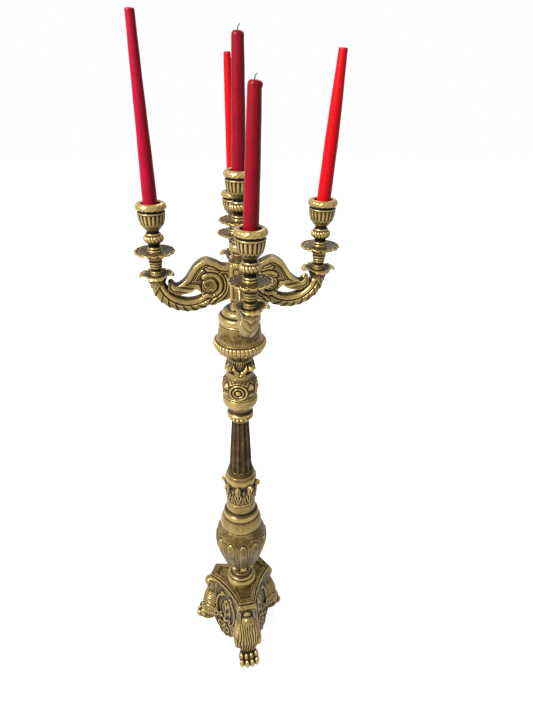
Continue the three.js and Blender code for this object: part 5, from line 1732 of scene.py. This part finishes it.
    def build(self) -> None:
        """Builds the light."""
        if self.place.name != "centre":
            self.neck()
        self.pan()
        self.socket()


@dataclass
class Candle:
    """Tapered candle that leans a little in its cup."""

    place: Place
    length: float
    middle: float
    top: float
    lean: float
    lean_to: float
    used: bool
    wick: float
    finish: Finish
    slot: str
    foot_radius: float = 10.8
    cup_floor: float = 1018.7

    def stance(self) -> Matrix:
        """Place and lean of the candle's foot.

        Returns:
            The matrix, in metres.
        """
        lean, towards = math.radians(self.lean), math.radians(self.lean_to)
        level = self.cup_floor - self.place.drop + 0.3 + self.foot_radius * math.sin(lean)
        axis = Vector((-math.sin(towards), math.cos(towards), 0))
        spot = Vector((self.place.x, self.place.y, level)) * MM
        return Matrix.Translation(spot) @ Matrix.Rotation(lean, 4, axis)

    def build(self) -> None:
        """Builds the candle and, on a used one, its wick."""
        length, top = self.length, self.top
        if self.used:
            end: list[Run] = [
                [(top, length - 9), (top * 0.98, length - 5.5), (top * 0.86, length - 2.2), (top * 0.55, length - 0.5),
                 (1.2, length - 0.2)],
                [(1.2, length - 4.0), (0, length - 4.0)],
            ]
        else:
            end = [
                [(top, length - 3), (top * 0.99, length - 1.2), (top * 0.93, length - 0.2), (top * 0.8, length)],
                [(top * 0.4, length - 0.4), (0, length - 0.5)],
            ]
        line = profile_of([
            [(self.foot_radius - 0.6, 0), (self.foot_radius, 0.8)],
            [(self.foot_radius, 1.0), (self.foot_radius - 0.3, length * 0.2), (self.middle, length * 0.55), end[0][0]],
            *end,
        ], 2.2)
        line = np.vstack([[0, 0], line[line[:, 0] > 0.01], [0, line[-1, 1]]])

        def drips(angle: Array, height: Array, radius: Array) -> Array:
            """Slight waves of hand-dipped wax, and a drip over a used top."""
            waves = 0.10 * np.sin(3 * angle + height / 31) + 0.08 * np.sin(height / 9 + 2 * angle)
            lump = 0.0
            if self.used:
                beads = [(1.25, -5.0, 1.9 if self.place.name == "front" else 0.5), (-0.4, -3.2, 0.5), (3.2, -4.0, 0.6)]
                for heading, drop, size in beads:
                    gap = np.angle(np.exp(1j * (angle - heading)))
                    lump = lump + size * bump(gap, 0.35) * bump(height - length - drop, 2.4) * ramp(radius, 3, 6)
            return waves * ramp(radius, 3, 6) + lump

        piece = as_object(f"candle_{self.place.name}_wax", turn(line, 64, drips))
        piece.matrix_world = self.stance()
        place_piece(piece, self.finish, f"candle_{self.place.name}", self.slot, f"candle_{self.place.name}")
        if self.wick:
            self.burnt_wick()

    def burnt_wick(self) -> None:
        """Builds the bent, burnt wick."""
        foot, tall = self.length - 3.7, self.wick
        path = curve_through([
            (0, foot), (0.1, self.length + tall * 0.3), (tall * 0.15, self.length + tall * 0.7),
            (tall * 0.5, self.length + tall * 0.98),
        ], 10)
        size = np.interp(np.linspace(0, 1, len(path)), [0, 0.6, 1], [0.8, 0.75, 0.45])

        def twist(share: Array, angle: Array) -> Array:
            """Lay of the braided cotton."""
            return 0.09 * np.cos(3 * angle + 40 * share)

        wick = as_object(f"wick_{self.place.name}_cotton", tube_along(path, np.stack([size, size], 1), 14, twist))
        wick.matrix_world = self.stance()
        place_piece(wick, Finish.COTTON, f"candle_{self.place.name}", "wick", f"wick_{self.place.name}")


def candles(places: list[Place]) -> list[Candle]:
    """The five candles.

    Args:
        places: Their places.

    Returns:
        The candles, centre first.
    """
    centre, front, right, back, left = places
    return [
        Candle(centre, 198, 9.8, 8.6, 0, 0, True, 7, Finish.OXBLOOD, "crimson_wax"),
        Candle(front, 194.5, 9.9, 8.6, 1.2, 0, True, 6, Finish.OXBLOOD, "crimson_wax"),
        # The right and back candles carry painted backlight in their brighter wax.
        Candle(right, 226, 9.6, 6.3, 3.4, 0, False, 0, Finish.CRIMSON_PAINTED_BACKLIGHT, "red_wax"),
        Candle(back, 233, 8.6, 5.6, 2.1, 180, False, 0, Finish.CRIMSON_PAINTED_BACKLIGHT, "red_wax"),
        Candle(left, 263.1, 8.4, 6.3, 0.9, 180, False, 0, Finish.CRIMSON, "crimson_wax"),
    ]


def hidden_steel() -> None:
    """Gives the rods, nuts and screws inside the stand their turned steel."""
    for node in (
        "tie_rod", "tie_rod_washer", "tie_rod_nut", "tie_rod_top_nut", "head_rod",
        "leg_screw_front", "leg_screw_right", "leg_screw_left",
    ):
        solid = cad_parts[node]
        for slot in solid.material_slots:
            slot.material = Finish.STEEL.value.material()
        LOG.info("%s: steel", node)


# ---- Studio --------------------------------------------------------------------------------------


@dataclass
class Studio:
    """Pale floor, soft lamps, white surround and the camera."""

    eye: tuple[float, float, float] = (-0.0919, -0.7958, 1.2327)
    heading: float = 9.965
    pitch: float = 29.911
    roll: float = -1.277
    lens: float = 26.33
    sensor: float = 36.0
    ambient: float = 0.13
    floor_glow: float = 0.88

    def camera(self) -> None:
        """Sets up the camera."""
        heading, pitch, roll = (math.radians(value) for value in (self.heading, self.pitch, self.roll))
        ahead = Vector((math.sin(heading) * math.cos(pitch), math.cos(heading) * math.cos(pitch), -math.sin(pitch)))
        level = Vector((math.cos(heading), -math.sin(heading), 0))
        down = ahead.cross(level)
        right = math.cos(roll) * level + math.sin(roll) * down
        below = -math.sin(roll) * level + math.cos(roll) * down
        data = bpy.data.cameras.new("camera")
        data.lens = self.lens
        data.sensor_width = self.sensor
        data.clip_end = 50
        camera = bpy.data.objects.new("camera", data)
        pose = Matrix((right, -below, -ahead)).transposed().to_4x4()
        pose.translation = Vector(self.eye)
        camera.matrix_world = pose
        bpy.context.scene.collection.objects.link(camera)
        bpy.context.scene.camera = camera

    def lamp(self, name: str, place: tuple[float, float, float], size: float, power: float) -> None:
        """Adds a soft square lamp that faces the column.

        Args:
            name: Its name.
            place: Its place, in metres.
            size: Length of its side.
            power: Its power, in watts.
        """
        data = bpy.data.lights.new(name, "AREA")
        data.size = size
        data.energy = power
        lamp = bpy.data.objects.new(name, data)
        lamp.location = place
        lamp.rotation_euler = (Vector((0, 0, 0.6)) - Vector(place)).to_track_quat("-Z", "Y").to_euler()
        bpy.context.scene.collection.objects.link(lamp)

    def floor(self) -> None:
        """Lays the pale floor, which keeps the stand's shadow."""
        marks = np.linspace(-7000, 7000, 29)
        grid = np.stack([*np.meshgrid(marks, marks), np.full((29, 29), -0.4)], axis=-1)
        plane = as_object("floor", grid_surface(grid, ring=False))
        bench = Bench("floor_pale")
        tone = bench.noise(400, 2)
        bench.link(bench.colours(tone, [(0.3, (0.42,) * 3), (0.7, (0.46,) * 3)]), bench.shader.inputs["Base Color"])
        bench.shader.inputs["Roughness"].default_value = 0.8
        rays = bench.tree.nodes.new("ShaderNodeLightPath")
        seen = bench.math("MAXIMUM", rays.outputs["Is Camera Ray"], rays.outputs["Is Glossy Ray"])
        bench.shader.inputs["Emission Color"].default_value = (1, 1, 1, 1)
        bench.link(bench.math("MULTIPLY", seen, self.floor_glow), bench.shader.inputs["Emission Strength"])
        plane.data.materials.append(bench.material)

    def surround(self) -> None:
        """Makes the surround white to the eye and in the metal, and dimmer as a light."""
        world = bpy.data.worlds.new("surround")
        bpy.context.scene.world = world
        world.use_nodes = True
        tree = world.node_tree
        rays = tree.nodes.new("ShaderNodeLightPath")
        first = tree.nodes.new("ShaderNodeMath")
        first.operation = "MAXIMUM"
        tree.links.new(rays.outputs["Is Camera Ray"], first.inputs[0])
        tree.links.new(rays.outputs["Is Glossy Ray"], first.inputs[1])
        second = tree.nodes.new("ShaderNodeMath")
        second.operation = "MAXIMUM"
        tree.links.new(first.outputs[0], second.inputs[0])
        tree.links.new(rays.outputs["Is Transmission Ray"], second.inputs[1])
        level = tree.nodes.new("ShaderNodeMapRange")
        level.inputs["To Min"].default_value = self.ambient
        level.inputs["To Max"].default_value = 1.0
        tree.links.new(second.outputs[0], level.inputs["Value"])
        background = tree.nodes["Background"]
        background.inputs["Color"].default_value = (1, 1, 1, 1)
        tree.links.new(level.outputs["Result"], background.inputs["Strength"])

    def build(self) -> None:
        """Sets up the studio."""
        self.camera()
        self.floor()
        self.surround()
        self.lamp("key", (-2.2, -1.35, 2.9), 0.9, 290)
        self.lamp("fill", (1.3, -1.6, 1.9), 1.2, 5)
        self.lamp("back", (0.5, 1.3, 2.5), 0.8, 16)
        bpy.context.scene.view_settings.view_transform = "Standard"


def main() -> None:
    """Builds the studio and the stand, from the base up."""
    logging.basicConfig(level=logging.INFO, format="%(name)s: %(message)s")
    Studio().build()
    Plinth().build()
    Leg().build()
    Apron().build()
    Column().build()
    HeadCore().build()
    Arm().build()
    places = places_of_lights()
    for place in places:
        Light(place).build()
    for candle in candles(places):
        candle.build()
    hidden_steel()


if __name__ == "__main__":
    main()
